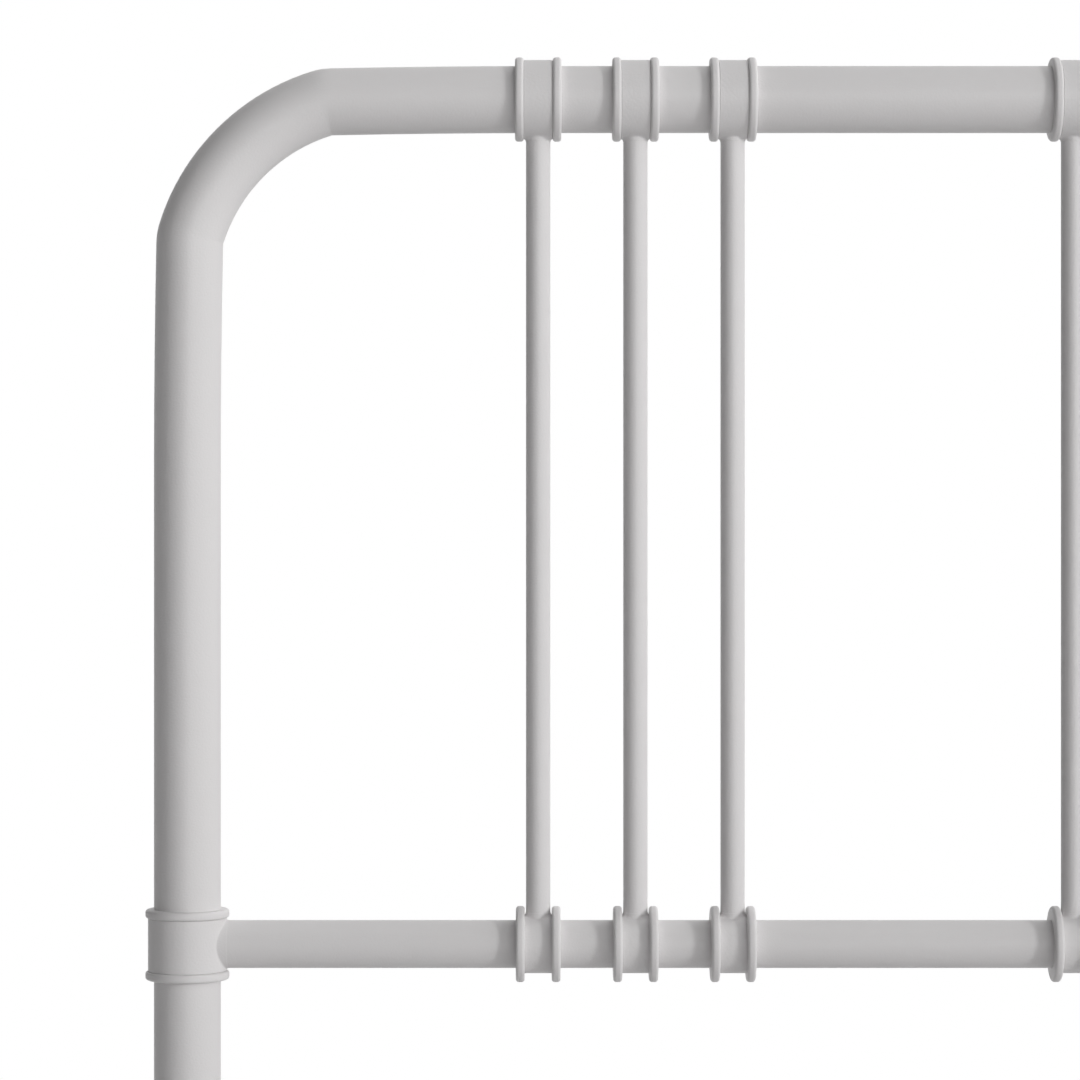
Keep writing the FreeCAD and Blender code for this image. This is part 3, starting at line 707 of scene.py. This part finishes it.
@dataclass
class Collar:
    """Cast collar about a tube: a band between two rounded beads, with a socket for a branch."""

    tube_radius: float
    length: float
    band_radius: float
    bead_radius: float
    branch_radius: float
    fillet: float = 0.0022
    bead_width: float = 0.0067
    bead_edge: float = 0.0023
    edge_steps: int = 6
    socket_wall: float = 0.0002
    socket_root: float = 0.8
    socket_mouth: float = 0.0001
    groove_width: float = 0.0
    groove_depth: float = 0.0006
    skirt: float = 0.0006
    skirt_sink: float = 0.00003
    around: int = 72
    fillet_steps: int = 8

    def outline(self) -> Outline:
        """Draws the half-section of the band and its beads, bore included.

        Returns:
            Points, each a radius and a place along the collar.
        """
        points: Outline = [(self.tube_radius, -self.length / 2)]
        edge, crown = self.bead_edge, self.bead_radius - self.bead_edge
        for side in (-1, 1):
            outer, inner = side * self.length / 2, side * (self.length / 2 - self.bead_width)
            bead = arc((crown, outer - side * edge), edge, side * 90.0, 0.0, self.edge_steps)
            bead += arc((crown, inner + side * edge), edge, 0.0, -side * 90.0, self.edge_steps)
            if self.groove_width:
                bead += [(self.band_radius - self.groove_depth, inner)]
            bead += [(self.band_radius, inner - side * self.groove_width)]
            points += bead if side < 0 else bead[::-1]
        return points + [(self.tube_radius, self.length / 2)]

    def socket_section(self, angle: float) -> List[Vector]:
        """Draws the socket's closed section, foot to mouth and back.

        Args:
            angle: Where it is cut, in radians about the socket's axis.

        Returns:
            The section's points.
        """
        wall = self.branch_radius + self.socket_wall
        reach = wall + self.fillet
        across = reach * math.sin(angle)
        ball = Vector((reach * math.cos(angle), across,
                       math.sqrt((self.band_radius + self.fillet) ** 2 - across ** 2)))
        out = Vector((math.cos(angle), math.sin(angle), 0.0))
        to_band = -Vector((0.0, ball.y, ball.z)).normalized()
        mouth = Z_AXIS * (self.band_radius + self.fillet + self.socket_mouth)
        foot = Z_AXIS * (self.tube_radius * self.socket_root)
        root = [ball + (-out).slerp(to_band, i / self.fillet_steps) * self.fillet
                for i in range(self.fillet_steps + 1)]
        lip = self.socket_wall / 2
        edge = root[-1] + (out - to_band * out.dot(to_band)).normalized() * self.skirt
        edge += to_band * self.skirt_sink
        section = [out * self.branch_radius + foot, out * self.branch_radius + mouth,
                   out * (wall - lip) + mouth, out * wall + mouth - Z_AXIS * lip]
        return section + root + [edge, Vector((edge.x, edge.y, foot.z))]

    def form(self) -> Form:
        """Makes the collar about the X axis, its socket facing +Z.

        Returns:
            The collar.
        """
        made = Form()
        made.turned(self.outline(), ORIGIN, X_AXIS)
        rings = len(self.socket_section(0.0))

        def on_socket(turn: float, along: float) -> Vector:
            """Point of the socket's skin, by its shares of the way round and along."""
            return self.socket_section(turn * FULL_TURN)[round(along * rings) % rings]

        made.wrapped(self.around, rings, on_socket)
        return made


@dataclass
class Sweep:
    """Ring of edges carried along a tube's line, upright and square to Y."""

    form: Form
    point: Vector
    radius: float
    sides: int
    heading: float = 0.0
    ring: List[Any] = field(init=False)

    def __post_init__(self) -> None:
        """Lays the ring level about the start of the line."""
        bmesh.ops.create_circle(self.form.bm, cap_ends=False, segments=self.sides,
                                radius=self.radius, matrix=Matrix.Translation(self.point))
        self.ring = list(self.form.bm.verts) + list(self.form.bm.edges)

    @property
    def inward(self) -> Vector:
        """Direction from the line to the middle of a bend."""
        return Vector((math.cos(self.heading), 0.0, -math.sin(self.heading)))

    def straight(self, end: Vector) -> None:
        """Carries the ring straight on.

        Args:
            end: Where the run ends.
        """
        edges = [g for g in self.ring if isinstance(g, bmesh.types.BMEdge)]
        made = bmesh.ops.extrude_edge_only(self.form.bm, edges=edges)["geom"]
        verts = [g for g in made if isinstance(g, bmesh.types.BMVert)]
        bmesh.ops.translate(self.form.bm, vec=end - self.point, verts=verts)
        fresh = set(verts)
        edges = [g for g in made if isinstance(g, bmesh.types.BMEdge) and set(g.verts) <= fresh]
        self.ring, self.point = verts + edges, end

    def bend(self, radius: float, turn: float, steps: int) -> None:
        """Carries the ring round a bend.

        Args:
            radius: Radius of the bend's line.
            turn: Its angle in radians.
            steps: How many straight steps it has.
        """
        centre = self.point + self.inward * radius
        self.ring = bmesh.ops.spin(self.form.bm, geom=self.ring, cent=centre, axis=Y_AXIS, angle=turn,
                                   steps=steps, use_merge=False, use_duplicate=False)["geom_last"]
        self.heading += turn
        self.point = centre - self.inward * radius


@dataclass
class ArchTube:
    """Bent tube of a panel: up one post, along the top rail and down the other post."""

    node: str
    bend_radius: float = 0.1529
    bend_steps: int = 22
    set_radius: float = 0.030
    set_degrees: float = 16.3
    set_steps: int = 5
    lean_radius: float = 8.0
    lean_degrees: float = 1.2
    lean_steps: int = 4
    sides: int = 96
    extent: Extent = field(init=False)

    def __post_init__(self) -> None:
        """Reads the tube's place from its CAD node."""
        self.extent = Extent.of(self.node)

    @property
    def radius(self) -> float:
        """Tube's outer radius."""
        return self.extent.size.y / 2

    @property
    def post_x(self) -> float:
        """Bed centre line to a post's axis."""
        return self.extent.size.x / 2 - self.radius

    @property
    def rail_z(self) -> float:
        """Height of the top rail's axis."""
        return self.extent.high.z - self.radius

    def bends(self) -> List[Tuple[float, float, int]]:
        """Works out a corner's bends.

        Returns:
            The bends in order, each a radius, an angle in radians and its steps.
        """
        main = 90.0 - 2 * (self.set_degrees + self.lean_degrees)
        half = [(self.lean_radius, self.lean_degrees, self.lean_steps),
                (self.set_radius, self.set_degrees, self.set_steps)]
        turns = half + [(self.bend_radius, main, self.bend_steps)] + half[::-1]
        return [(radius, math.radians(degrees), steps) for radius, degrees, steps in turns]

    def corner_reach(self) -> float:
        """Works out how far a corner carries the tube, the same sideways and up.

        Returns:
            The distance.
        """
        reach, heading = 0.0, 0.0
        for radius, turn, _ in self.bends():
            reach += radius * (math.sin(heading + turn) - math.sin(heading))
            heading += turn
        return reach

    def build(self) -> None:
        """Bends the tube and closes its ends."""
        form = Form()
        y, foot, reach = self.extent.middle.y, self.extent.low.z, self.corner_reach()
        line = Sweep(form, Vector((-self.post_x, y, foot)), self.radius, self.sides)
        for x, z in ((-self.post_x, self.rail_z - reach), (self.post_x - reach, self.rail_z)):
            line.straight(Vector((x, y, z)))
            for bend in self.bends():
                line.bend(*bend)
        line.straight(Vector((self.post_x, y, foot)))
        form.close()
        form.piece(f"{self.node}_tube", Slot.STEEL, [self.node])


@dataclass
class Panel:
    """Headboard or footboard: arch, crossbar, spindles and the collars that hold them."""

    name: str
    rail_collar_length: float = 0.0357
    bar_collar_length: float = 0.0343
    tee_length: float = 0.0542
    rail_band_radius: float = 0.0303
    rail_bead_radius: float = 0.0323
    bar_band_radius: float = 0.02235
    bar_bead_radius: float = 0.0292
    bar_fillet: float = 0.0012
    groove_width: float = 0.0004
    tube_sides: int = 72
    spindle_sides: int = 48
    arch: ArchTube = field(init=False)
    bar: Extent = field(init=False)

    def __post_init__(self) -> None:
        """Finds the panel's arch and crossbar."""
        self.arch = ArchTube(f"{self.name}_arch")
        self.bar = Extent.of(f"{self.name}_crossbar")

    @property
    def bar_radius(self) -> float:
        """Crossbar's outer radius."""
        return self.bar.size.z / 2

    def build(self) -> None:
        """Builds and dresses every piece of the panel."""
        self.arch.build()
        self.build_crossbar()
        self.build_tees()
        for cluster in CLUSTERS:
            self.build_cluster(cluster)

    def build_crossbar(self) -> None:
        """Round bar between the posts."""
        form, centre = Form(), self.bar.middle
        reach = X_AXIS * (self.arch.post_x - self.arch.radius)
        form.rod(centre - reach, centre + reach, self.bar_radius, self.tube_sides)
        form.piece(f"{self.name}_crossbar_tube", Slot.STEEL, [f"{self.name}_crossbar"])

    def build_tees(self) -> None:
        """Castings about the posts that hold the crossbar's ends."""
        tee = Collar(self.arch.radius, self.tee_length, self.rail_band_radius, self.rail_bead_radius,
                     self.bar_radius, self.bar_fillet, groove_width=self.groove_width).form()
        upright = Matrix.Rotation(math.radians(90), 4, "Y")
        for side, x, turn in (("left", -self.arch.post_x, 0.0), ("right", self.arch.post_x, math.pi)):
            node, where = f"{self.name}_{side}_tee_collar", (x, self.bar.middle.y, self.bar.middle.z)
            form = Form()
            form.stamp(tee, Matrix.Translation(where) @ Matrix.Rotation(turn, 4, "Z") @ upright)
            form.piece(f"{node}_casting", Slot.CASTING, [node])

    def build_cluster(self, cluster: str) -> None:
        """Three spindles with a collar at each end.

        Args:
            cluster: Which of the panel's clusters.
        """
        node = f"{self.name}_{cluster}"
        spindles = Extent.of(f"{node}_spindles")
        radius = spindles.size.y / 2
        pitch = spindles.size.x / 2 - radius
        places = [spindles.middle.x + step * pitch for step in (-1, 0, 1)]
        y, rail_z, bar_z = self.bar.middle.y, self.arch.rail_z, self.bar.middle.z
        on_rail = Collar(self.arch.radius, self.rail_collar_length, self.rail_band_radius,
                         self.rail_bead_radius, radius, groove_width=self.groove_width).form()
        on_bar = Collar(self.bar_radius, self.bar_collar_length, self.bar_band_radius,
                        self.bar_bead_radius, radius).form()
        tubes, tops, feet = Form(), Form(), Form()
        upside_down = Matrix.Rotation(math.pi, 4, "X")
        for x in places:
            tubes.rod(Vector((x, y, bar_z + self.bar_radius)), Vector((x, y, rail_z - self.arch.radius)),
                      radius, self.spindle_sides)
            tops.stamp(on_rail, Matrix.Translation((x, y, rail_z)) @ upside_down)
            feet.stamp(on_bar, Matrix.Translation((x, y, bar_z)))
        tubes.piece(f"{node}_spindle_tubes", Slot.STEEL, [f"{node}_spindles"])
        tops.piece(f"{node}_rail_castings", Slot.CASTING, [f"{node}_rail_collars"])
        feet.piece(f"{node}_bar_castings", Slot.CASTING, [f"{node}_bar_collars"])


@dataclass
class PostFeet:
    """Moulded caps under a panel's two posts."""

    panel: str
    rim: float = 0.001
    height: float = 0.008
    edge: float = 0.002
    edge_steps: int = 6
    lip_edge: float = 0.0004
    lip_steps: int = 3
    tube_wall: float = 0.0016
    taper: float = 0.0006

    def build(self) -> None:
        """Turns both caps, plugs included."""
        node = f"{self.panel}_foot_caps"
        extent = Extent.of(node)
        radius, depth = extent.size.y / 2, extent.size.z
        post, plug = radius - self.rim, radius - self.rim - self.tube_wall
        outline = [(0.0, 0.0)]
        outline += arc((radius - self.edge, self.edge), self.edge, -90.0, 0.0, self.edge_steps)
        outline += arc((radius - self.lip_edge, self.height - self.lip_edge), self.lip_edge, 0.0, 90.0,
                       self.lip_steps)
        outline += [(post, self.height), (plug, self.height), (plug - self.taper, depth), (0.0, depth)]
        form = Form()
        for side in (-1, 1):
            x = extent.middle.x + side * (extent.size.x / 2 - radius)
            form.turned(outline, Vector((x, extent.middle.y, extent.low.z)), Z_AXIS)
        form.piece(f"{self.panel}_foot_mouldings", Slot.LIGHT_PLASTIC, [node])


@dataclass
class LevellingFoot:
    """Screw foot of a centre leg: a swivelling pad under a threaded stud with a spanner hexagon."""

    leg: str
    thread: Thread = Thread(radius=0.005, pitch=0.0015, depth=0.00092, steps=24)
    hex_across: float = 0.017
    hex_height: float = 0.005
    hex_chamfer: float = 0.0009
    hex_above_pad: float = 0.0015
    button_radius: float = 0.008
    button_height: float = 0.003
    button_edge: float = 0.0004
    button_sides: int = 48
    swivel_fit: float = 0.0003
    pad_edge: float = 0.0010
    edge_steps: int = 5
    pad_side: float = 0.0038
    shoulder_edge: float = 0.0014
    bell_radius: float = 0.0090
    bell_end: float = 203.0
    bell_steps: int = 10
    neck_radius: float = 0.012
    neck_edge: float = 0.0006
    neck_steps: int = 3
    sole_grooves: Tuple[float, ...] = (0.010, 0.0145, 0.019)
    groove_width: float = 0.0012
    groove_depth: float = 0.0008

    def build(self) -> None:
        """Builds the pad and its stud."""
        pad = Extent.of(f"{self.leg}_foot_pad")
        stud = Extent.of(f"{self.leg}_foot_stud")
        self.build_pad(pad, stud)
        self.build_stud(pad, stud)

    def sole(self) -> Outline:
        """Draws the pad's underside with its gripping grooves.

        Returns:
            Points from the middle out.
        """
        points: Outline = [(0.0, 0.0)]
        for r in self.sole_grooves:
            half = self.groove_width / 2
            points += [(r - half, 0.0), (r - half / 2, self.groove_depth),
                       (r + half / 2, self.groove_depth), (r + half, 0.0)]
        return points

    def build_pad(self, pad: Extent, stud: Extent) -> None:
        """Bell-shaped moulding about the stud's button end.

        Args:
            pad: Box of the CAD pad.
            stud: Box of the CAD stud.
        """
        radius, top = pad.size.x / 2, pad.size.z
        edge, shoulder, neck = self.pad_edge, self.shoulder_edge, self.neck_edge
        bore = self.thread.radius + self.swivel_fit
        pocket = self.button_radius + self.swivel_fit
        floor = stud.low.z - pad.low.z - self.swivel_fit
        roof = floor + self.button_height + 2 * self.swivel_fit
        outline = self.sole()
        outline += arc((radius - edge, edge), edge, -90.0, 0.0, self.edge_steps)
        outline += arc((radius - shoulder, self.pad_side), shoulder, 0.0, 90.0, self.edge_steps)
        outline += arc((radius - shoulder, self.pad_side + shoulder + self.bell_radius),
                       self.bell_radius, 270.0, self.bell_end, self.bell_steps)[1:]
        outline += arc((self.neck_radius - neck, top - neck), neck, 0.0, 90.0, self.neck_steps)
        outline += [(bore, top), (bore, roof), (pocket, roof), (pocket, floor), (0.0, floor)]
        form = Form()
        form.turned(outline, pad.foot, Z_AXIS)
        form.piece(f"{self.leg}_foot_bell", Slot.BLACK_PLASTIC, [f"{self.leg}_foot_pad"],
                   body=f"{self.leg}_pad")

    def build_stud(self, pad: Extent, stud: Extent) -> None:
        """Button end, plain neck, hexagon and thread.

        Args:
            pad: Box of the CAD pad.
            stud: Box of the CAD stud.
        """
        foot = stud.foot
        hex_low = Vector((foot.x, foot.y, pad.high.z + self.hex_above_pad))
        neck = (hex_low - foot).z
        wide, high, edge, slim = self.button_radius, self.button_height, self.button_edge, self.thread.radius
        button, thread, hexagon = Form(), Form(), Form()
        button.turned([(0.0, 0.0), (wide - edge, 0.0), (wide, edge), (wide, high - edge), (wide - edge, high),
                       (slim, high), (slim, neck), (0.0, neck)], foot, Z_AXIS, self.button_sides)
        thread.thread(hex_low + Z_AXIS * self.hex_height, Vector((foot.x, foot.y, stud.high.z)), self.thread)
        hexagon.hexagon(hex_low, self.hex_across, self.hex_height, self.hex_chamfer)
        for part in (thread, hexagon):
            button.stamp(part)
        button.piece(f"{self.leg}_foot_screw", Slot.ZINC, [f"{self.leg}_foot_stud"],
                     body=f"{self.leg}_stud", crease=Crease.FINE)


@dataclass
class Fasteners:
    """Zinc-plated bolts, nuts and screws with chamfered hexagons and cut threads."""

    bolt_across: float = 0.010
    bolt_thread: Thread = Thread(radius=0.003, pitch=0.001, depth=0.0006, steps=18)
    threaded: float = 0.012
    shank_sides: int = 32
    head_height: float = 0.004
    nut_height: float = 0.005
    chamfer: float = 0.0006
    screw_across: float = 0.008
    screw_thread: Thread = Thread(radius=0.00275, pitch=0.0018, depth=0.0007, steps=12)
    washer_radius: float = 0.0055
    washer_height: float = 0.001
    washer_sides: int = 36
    rim_steps: int = 6

    def build(self) -> None:
        """Builds every group."""
        self.build_hook_bolts()
        self.build_upright("centre_leg_bolts", "centre_leg_bolt_set", self.bolt)
        self.build_upright("slat_screws", "slat_screw_set", self.screw)

    def bolt(self, length: float) -> Form:
        """Makes an upright hexagon bolt, head down, its head's outer face on the origin.

        Args:
            length: Head included.

        Returns:
            The bolt.
        """
        made, thread = Form(), Form()
        seat, plain, tip = (Z_AXIS * z for z in (self.head_height, length - self.threaded, length))
        made.hexagon(ORIGIN, self.bolt_across, self.head_height, self.chamfer)
        made.rod(seat, plain, self.bolt_thread.radius, self.shank_sides)
        thread.thread(plain, tip, self.bolt_thread)
        made.stamp(thread)
        return made

    def screw(self, length: float) -> Form:
        """Makes an upright screw, head down, with a washer under its hexagon head.

        Args:
            length: Head included.

        Returns:
            The screw.
        """
        made, washer, thread = Form(), Form(), Form()
        hex_height, half = self.head_height - self.washer_height, self.washer_height / 2
        made.hexagon(ORIGIN, self.screw_across, hex_height, self.chamfer)
        rim = arc((self.washer_radius - half, hex_height + half), half, -90.0, 90.0, self.rim_steps)
        washer.turned([(0.0, hex_height)] + rim + [(0.0, self.head_height)], ORIGIN, Z_AXIS,
                      self.washer_sides)
        thread.thread(Z_AXIS * self.head_height, Z_AXIS * length, self.screw_thread)
        for part in (washer, thread):
            made.stamp(part)
        return made

    def build_hook_bolts(self) -> None:
        """Bolts that hold the centre rail's hooks, heads towards the bed's middle, and their nuts."""
        node = "hook_bolts_and_nuts"
        boxes = Extent.of_each(node)
        form, nut, bolt = Form(), Form(), self.bolt(max(box.size.y for box in boxes))
        nut.hexagon(ORIGIN, self.bolt_across, self.nut_height, self.chamfer)
        for box in boxes:
            outward = 1.0 if box.middle.y > 0 else -1.0
            start = Vector((box.middle.x, box.low.y if outward > 0 else box.high.y, box.middle.z))
            turn = Matrix.Rotation(math.radians(-90.0 * outward), 4, "X")
            pattern = bolt if box.size.y > self.threaded else nut
            form.stamp(pattern, Matrix.Translation(start) @ turn)
        form.piece("hook_bolt_set", Slot.ZINC, [node], crease=Crease.FINE)

    def build_upright(self, node: str, name: str, make: Callable[[float], Form]) -> None:
        """Replaces a node of like upright fasteners, heads down.

        Args:
            node: The CAD node.
            name: The new piece's name.
            make: Gives the fastener from its length.
        """
        boxes = Extent.of_each(node)
        pattern, form = make(boxes[0].size.z), Form()
        for box in boxes:
            form.stamp(pattern, Matrix.Translation(box.foot))
        form.piece(name, Slot.ZINC, [node], crease=Crease.FINE)


@dataclass
class Welds:
    """Weld beads left by the torch where painted steel meets painted steel."""

    rail_corner: float = 0.0035
    rail_bead: float = 0.0022
    leg_bead: float = 0.0018
    stitch_bead: float = 0.0016
    stitch_length: float = 0.028
    stitches: int = 7

    def build(self) -> None:
        """Runs every bead."""
        for panel in PANELS:
            self.build_lower_rail(panel)
        self.build_legs()
        self.build_centre_rail()
        self.build_ledges()

    def build_lower_rail(self, panel: str) -> None:
        """Beads all round the ends of a panel's lower rail.

        Args:
            panel: The panel's name.
        """
        rail, arch = Extent.of(f"{panel}_lower_rail"), ArchTube(f"{panel}_arch")
        loop = rounded_loop(rail.size.y, rail.size.z, self.rail_corner)
        form = Form()
        for side in (-1, 1):
            path = [Vector((side * (arch.post_x - math.sqrt(arch.radius ** 2 - y ** 2)),
                            rail.middle.y + y, rail.middle.z + z)) for y, z in loop]
            form.weld(path, self.rail_bead, closed=True)
        form.piece(f"{panel}_lower_rail_welds", Slot.STEEL, crease=Crease.SOFT)

    def build_legs(self) -> None:
        """Beads round the tops of the centre legs, under their plates."""
        form = Form()
        for leg in LEGS:
            tube = Extent.of(f"{leg}_leg")
            loop = rounded_loop(tube.size.x, tube.size.y, self.rail_corner)
            form.weld([Vector((tube.middle.x + x, tube.middle.y + y, tube.high.z)) for x, y in loop],
                      self.leg_bead, closed=True)
        form.piece("centre_leg_welds", Slot.STEEL, crease=Crease.SOFT)

    def build_centre_rail(self) -> None:
        """Beads round the ends of the centre rail, against its hooks."""
        rail = Extent.of("centre_rail")
        loop = rounded_loop(rail.size.x, rail.size.z, self.rail_corner)
        form = Form()
        for end in (rail.low.y, rail.high.y):
            form.weld([Vector((rail.middle.x + x, end, rail.middle.z + z)) for x, z in loop],
                      self.leg_bead, closed=True)
        form.piece("centre_rail_welds", Slot.STEEL, crease=Crease.SOFT)

    def build_ledges(self) -> None:
        """Short stitches along the lower edges of the slat ledges."""
        form = Form()
        for side in ("left", "right"):
            ledge = Extent.of(f"{side}_slat_ledge")
            x = ledge.low.x if side == "left" else ledge.high.x
            run = ledge.size.y - 2 * self.stitch_length
            for i in range(self.stitches):
                y = ledge.low.y + self.stitch_length + run * i / (self.stitches - 1)
                half = Y_AXIS * self.stitch_length / 2
                middle = Vector((x, y, ledge.low.z))
                form.weld([middle - half, middle + half], self.stitch_bead)
        form.piece("slat_ledge_welds", Slot.STEEL, crease=Crease.SOFT)


# Studio

WHITE = (1.0, 1.0, 1.0, 1.0)


class Light(Enum):
    """Which share of a lamp's light reaches the part: the matt or the mirrored one."""

    MATT = "matt"
    SHEEN = "sheen"


@dataclass(frozen=True)
class Lamp:
    """A distant soft lamp."""

    name: str
    azimuth: float
    elevation: float
    strength: float
    spread: float
    light: Light = Light.MATT

    def place(self) -> None:
        """Adds the lamp; azimuth 0 shines along +Y, and positive ones come from the right."""
        data = bpy.data.lights.new(self.name, "SUN")
        data.energy = self.strength
        data.angle = math.radians(self.spread)
        lamp = bpy.data.objects.new(self.name, data)
        across, up = math.radians(self.azimuth), math.radians(self.elevation)
        source = Vector((math.sin(across) * math.cos(up), -math.cos(across) * math.cos(up), math.sin(up)))
        lamp.rotation_euler = source.to_track_quat("Z", "Y").to_euler()
        lamp.visible_glossy = self.light is Light.SHEEN
        lamp.visible_diffuse = self.light is Light.MATT
        bpy.context.scene.collection.objects.link(lamp)


@dataclass(frozen=True)
class StudioFloor(Finish):
    """Pale floor that keeps the part's shadow, fades into the backdrop and is clear from below."""

    colour: Colour = (0.8, 0.8, 0.8)
    glow: float = 0.38
    fade_from: float = 1.9
    fade_to: float = 2.9

    def fill(self, graph: Graph) -> None:
        """Builds the node tree.

        Args:
            graph: The material's tree.
        """
        distance = graph.node("ShaderNodeVectorMath", {"operation": "LENGTH"}, {0: graph.place()},
                              output="Value")
        fade = (distance - self.fade_from) * (1.0 / (self.fade_to - self.fade_from))
        clear_share = fade.at_least(graph.node("ShaderNodeNewGeometry", output="Backfacing")).at_most(1.0)
        matt = graph.node("ShaderNodeBsdfDiffuse", {}, {"Color": (*self.colour, 1.0)})
        glow = graph.node("ShaderNodeEmission", {}, {"Strength": seen(graph) * self.glow})
        floor = graph.node("ShaderNodeAddShader", {}, {0: matt, 1: glow})
        clear = graph.node("ShaderNodeBsdfTransparent")
        graph.surface(graph.node("ShaderNodeMixShader", {}, {0: clear_share, 1: floor, 2: clear}))


def seen(graph: Graph) -> Channel:
    """Picks out rays that show the backdrop: straight to the camera, mirrored or through glass.

    Args:
        graph: The tree that it goes into.

    Returns:
        1 for such a ray, and 0 for others.
    """
    rays = [graph.node("ShaderNodeLightPath", output=kind)
            for kind in ("Is Camera Ray", "Is Glossy Ray", "Is Transmission Ray")]
    return (rays[0] + rays[1] + rays[2]).at_most(1.0)


@dataclass
class Studio:
    """White backdrop, pale floor, soft lamps and the camera."""

    lamps: Tuple[Lamp, ...] = (
        Lamp("key_lamp", 55.0, 10.0, 0.98, 6.5),
        Lamp("window_lamp", 41.0, 12.0, 1.25, 80.0),
        Lamp("top_lamp", 140.0, 62.0, 0.82, 35.0),
        Lamp("low_lamp", 50.0, -35.0, 0.54, 80.0),
        Lamp("back_lamp", 180.0, 25.0, 0.50, 60.0),
        Lamp("narrow_sheen", 15.0, 6.0, 1.4, 12.0, Light.SHEEN),
        Lamp("upper_sheen", 45.0, 45.0, 1.2, 60.0, Light.SHEEN),
        Lamp("lower_sheen", 30.0, -30.0, 1.2, 60.0, Light.SHEEN),
    )
    ambient: float = 0.14
    floor_radius: float = 3.0
    floor_sides: int = 96
    camera_at: Vector = field(default_factory=lambda: Vector((-0.4864, -1.689, 0.8145)))
    lens: float = 118.33
    sensor: float = 36.0
    nearest: float = 0.01

    def build(self) -> None:
        """Sets up everything round the part."""
        bpy.context.scene.view_settings.view_transform = "Standard"
        for lamp in self.lamps:
            lamp.place()
        self.build_backdrop()
        self.build_floor()
        self.build_camera()

    def build_backdrop(self) -> None:
        """World that is white to the camera and a dim surround to the part."""
        world = bpy.data.worlds.new("backdrop")
        world.use_nodes = True
        bpy.context.scene.world = world
        graph = Graph(world.node_tree)
        surround = graph.node("ShaderNodeBackground", {}, {"Color": WHITE, "Strength": self.ambient})
        white = graph.node("ShaderNodeBackground", {}, {"Color": WHITE, "Strength": 1.0})
        mixed = graph.node("ShaderNodeMixShader", {}, {0: seen(graph), 1: surround, 2: white})
        graph.node("ShaderNodeOutputWorld", {}, {"Surface": mixed})

    def build_floor(self) -> None:
        """Round floor under the part."""
        form = bmesh.new()
        bmesh.ops.create_circle(form, cap_ends=True, segments=self.floor_sides, radius=self.floor_radius)
        mesh = bpy.data.meshes.new("studio_floor")
        form.to_mesh(mesh)
        form.free()
        mesh.materials.append(StudioFloor("studio_floor").material())
        floor = bpy.data.objects.new("studio_floor", mesh)
        floor.visible_shadow = False
        bpy.context.scene.collection.objects.link(floor)
        floor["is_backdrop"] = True

    def build_camera(self) -> None:
        """Camera level with the part, square to the headboard."""
        data = bpy.data.cameras.new("camera")
        data.lens = self.lens
        data.sensor_width = self.sensor
        data.clip_start = self.nearest
        camera = bpy.data.objects.new("camera", data)
        camera.location = self.camera_at
        camera.rotation_euler = (math.radians(90), 0.0, 0.0)
        bpy.context.scene.collection.objects.link(camera)
        bpy.context.scene.camera = camera


def dress_frame_nodes() -> None:
    """Gives each CAD node the finish of its slot in the record."""
    for entry in frame["record"]["subparts"]:
        node = frame["nodes"][entry["node"]]
        material = FINISH_OF[Slot(entry["material_slot"])].material()
        if not node.material_slots:
            node.data.materials.append(material)
        for held in node.material_slots:
            held.material = material


def write_sizes(before: Sequence[Vector]) -> None:
    """Works out the boxes of the CAD model and of the dressed part; they are not written anywhere.

    Args:
        before: Corners of the CAD model's box.
    """
    def plain(corners: Sequence[Vector]) -> List[List[float]]:
        """Corners as plain lists."""
        return [[float(v) for v in corner] for corner in corners]

    sizes = {"cad": plain(before), "visual": plain(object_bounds())}


def main() -> None:
    """Builds the whole scene."""
    logging.basicConfig(level=logging.INFO, format="%(name)s: %(message)s")
    cad_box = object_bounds()
    dress_frame_nodes()
    for name in PANELS:
        Panel(name).build()
        PostFeet(name).build()
    for leg in LEGS:
        LevellingFoot(leg).build()
    Fasteners().build()
    Welds().build()
    Studio().build()
    write_sizes(cad_box)


if __name__ == "__main__":
    main()
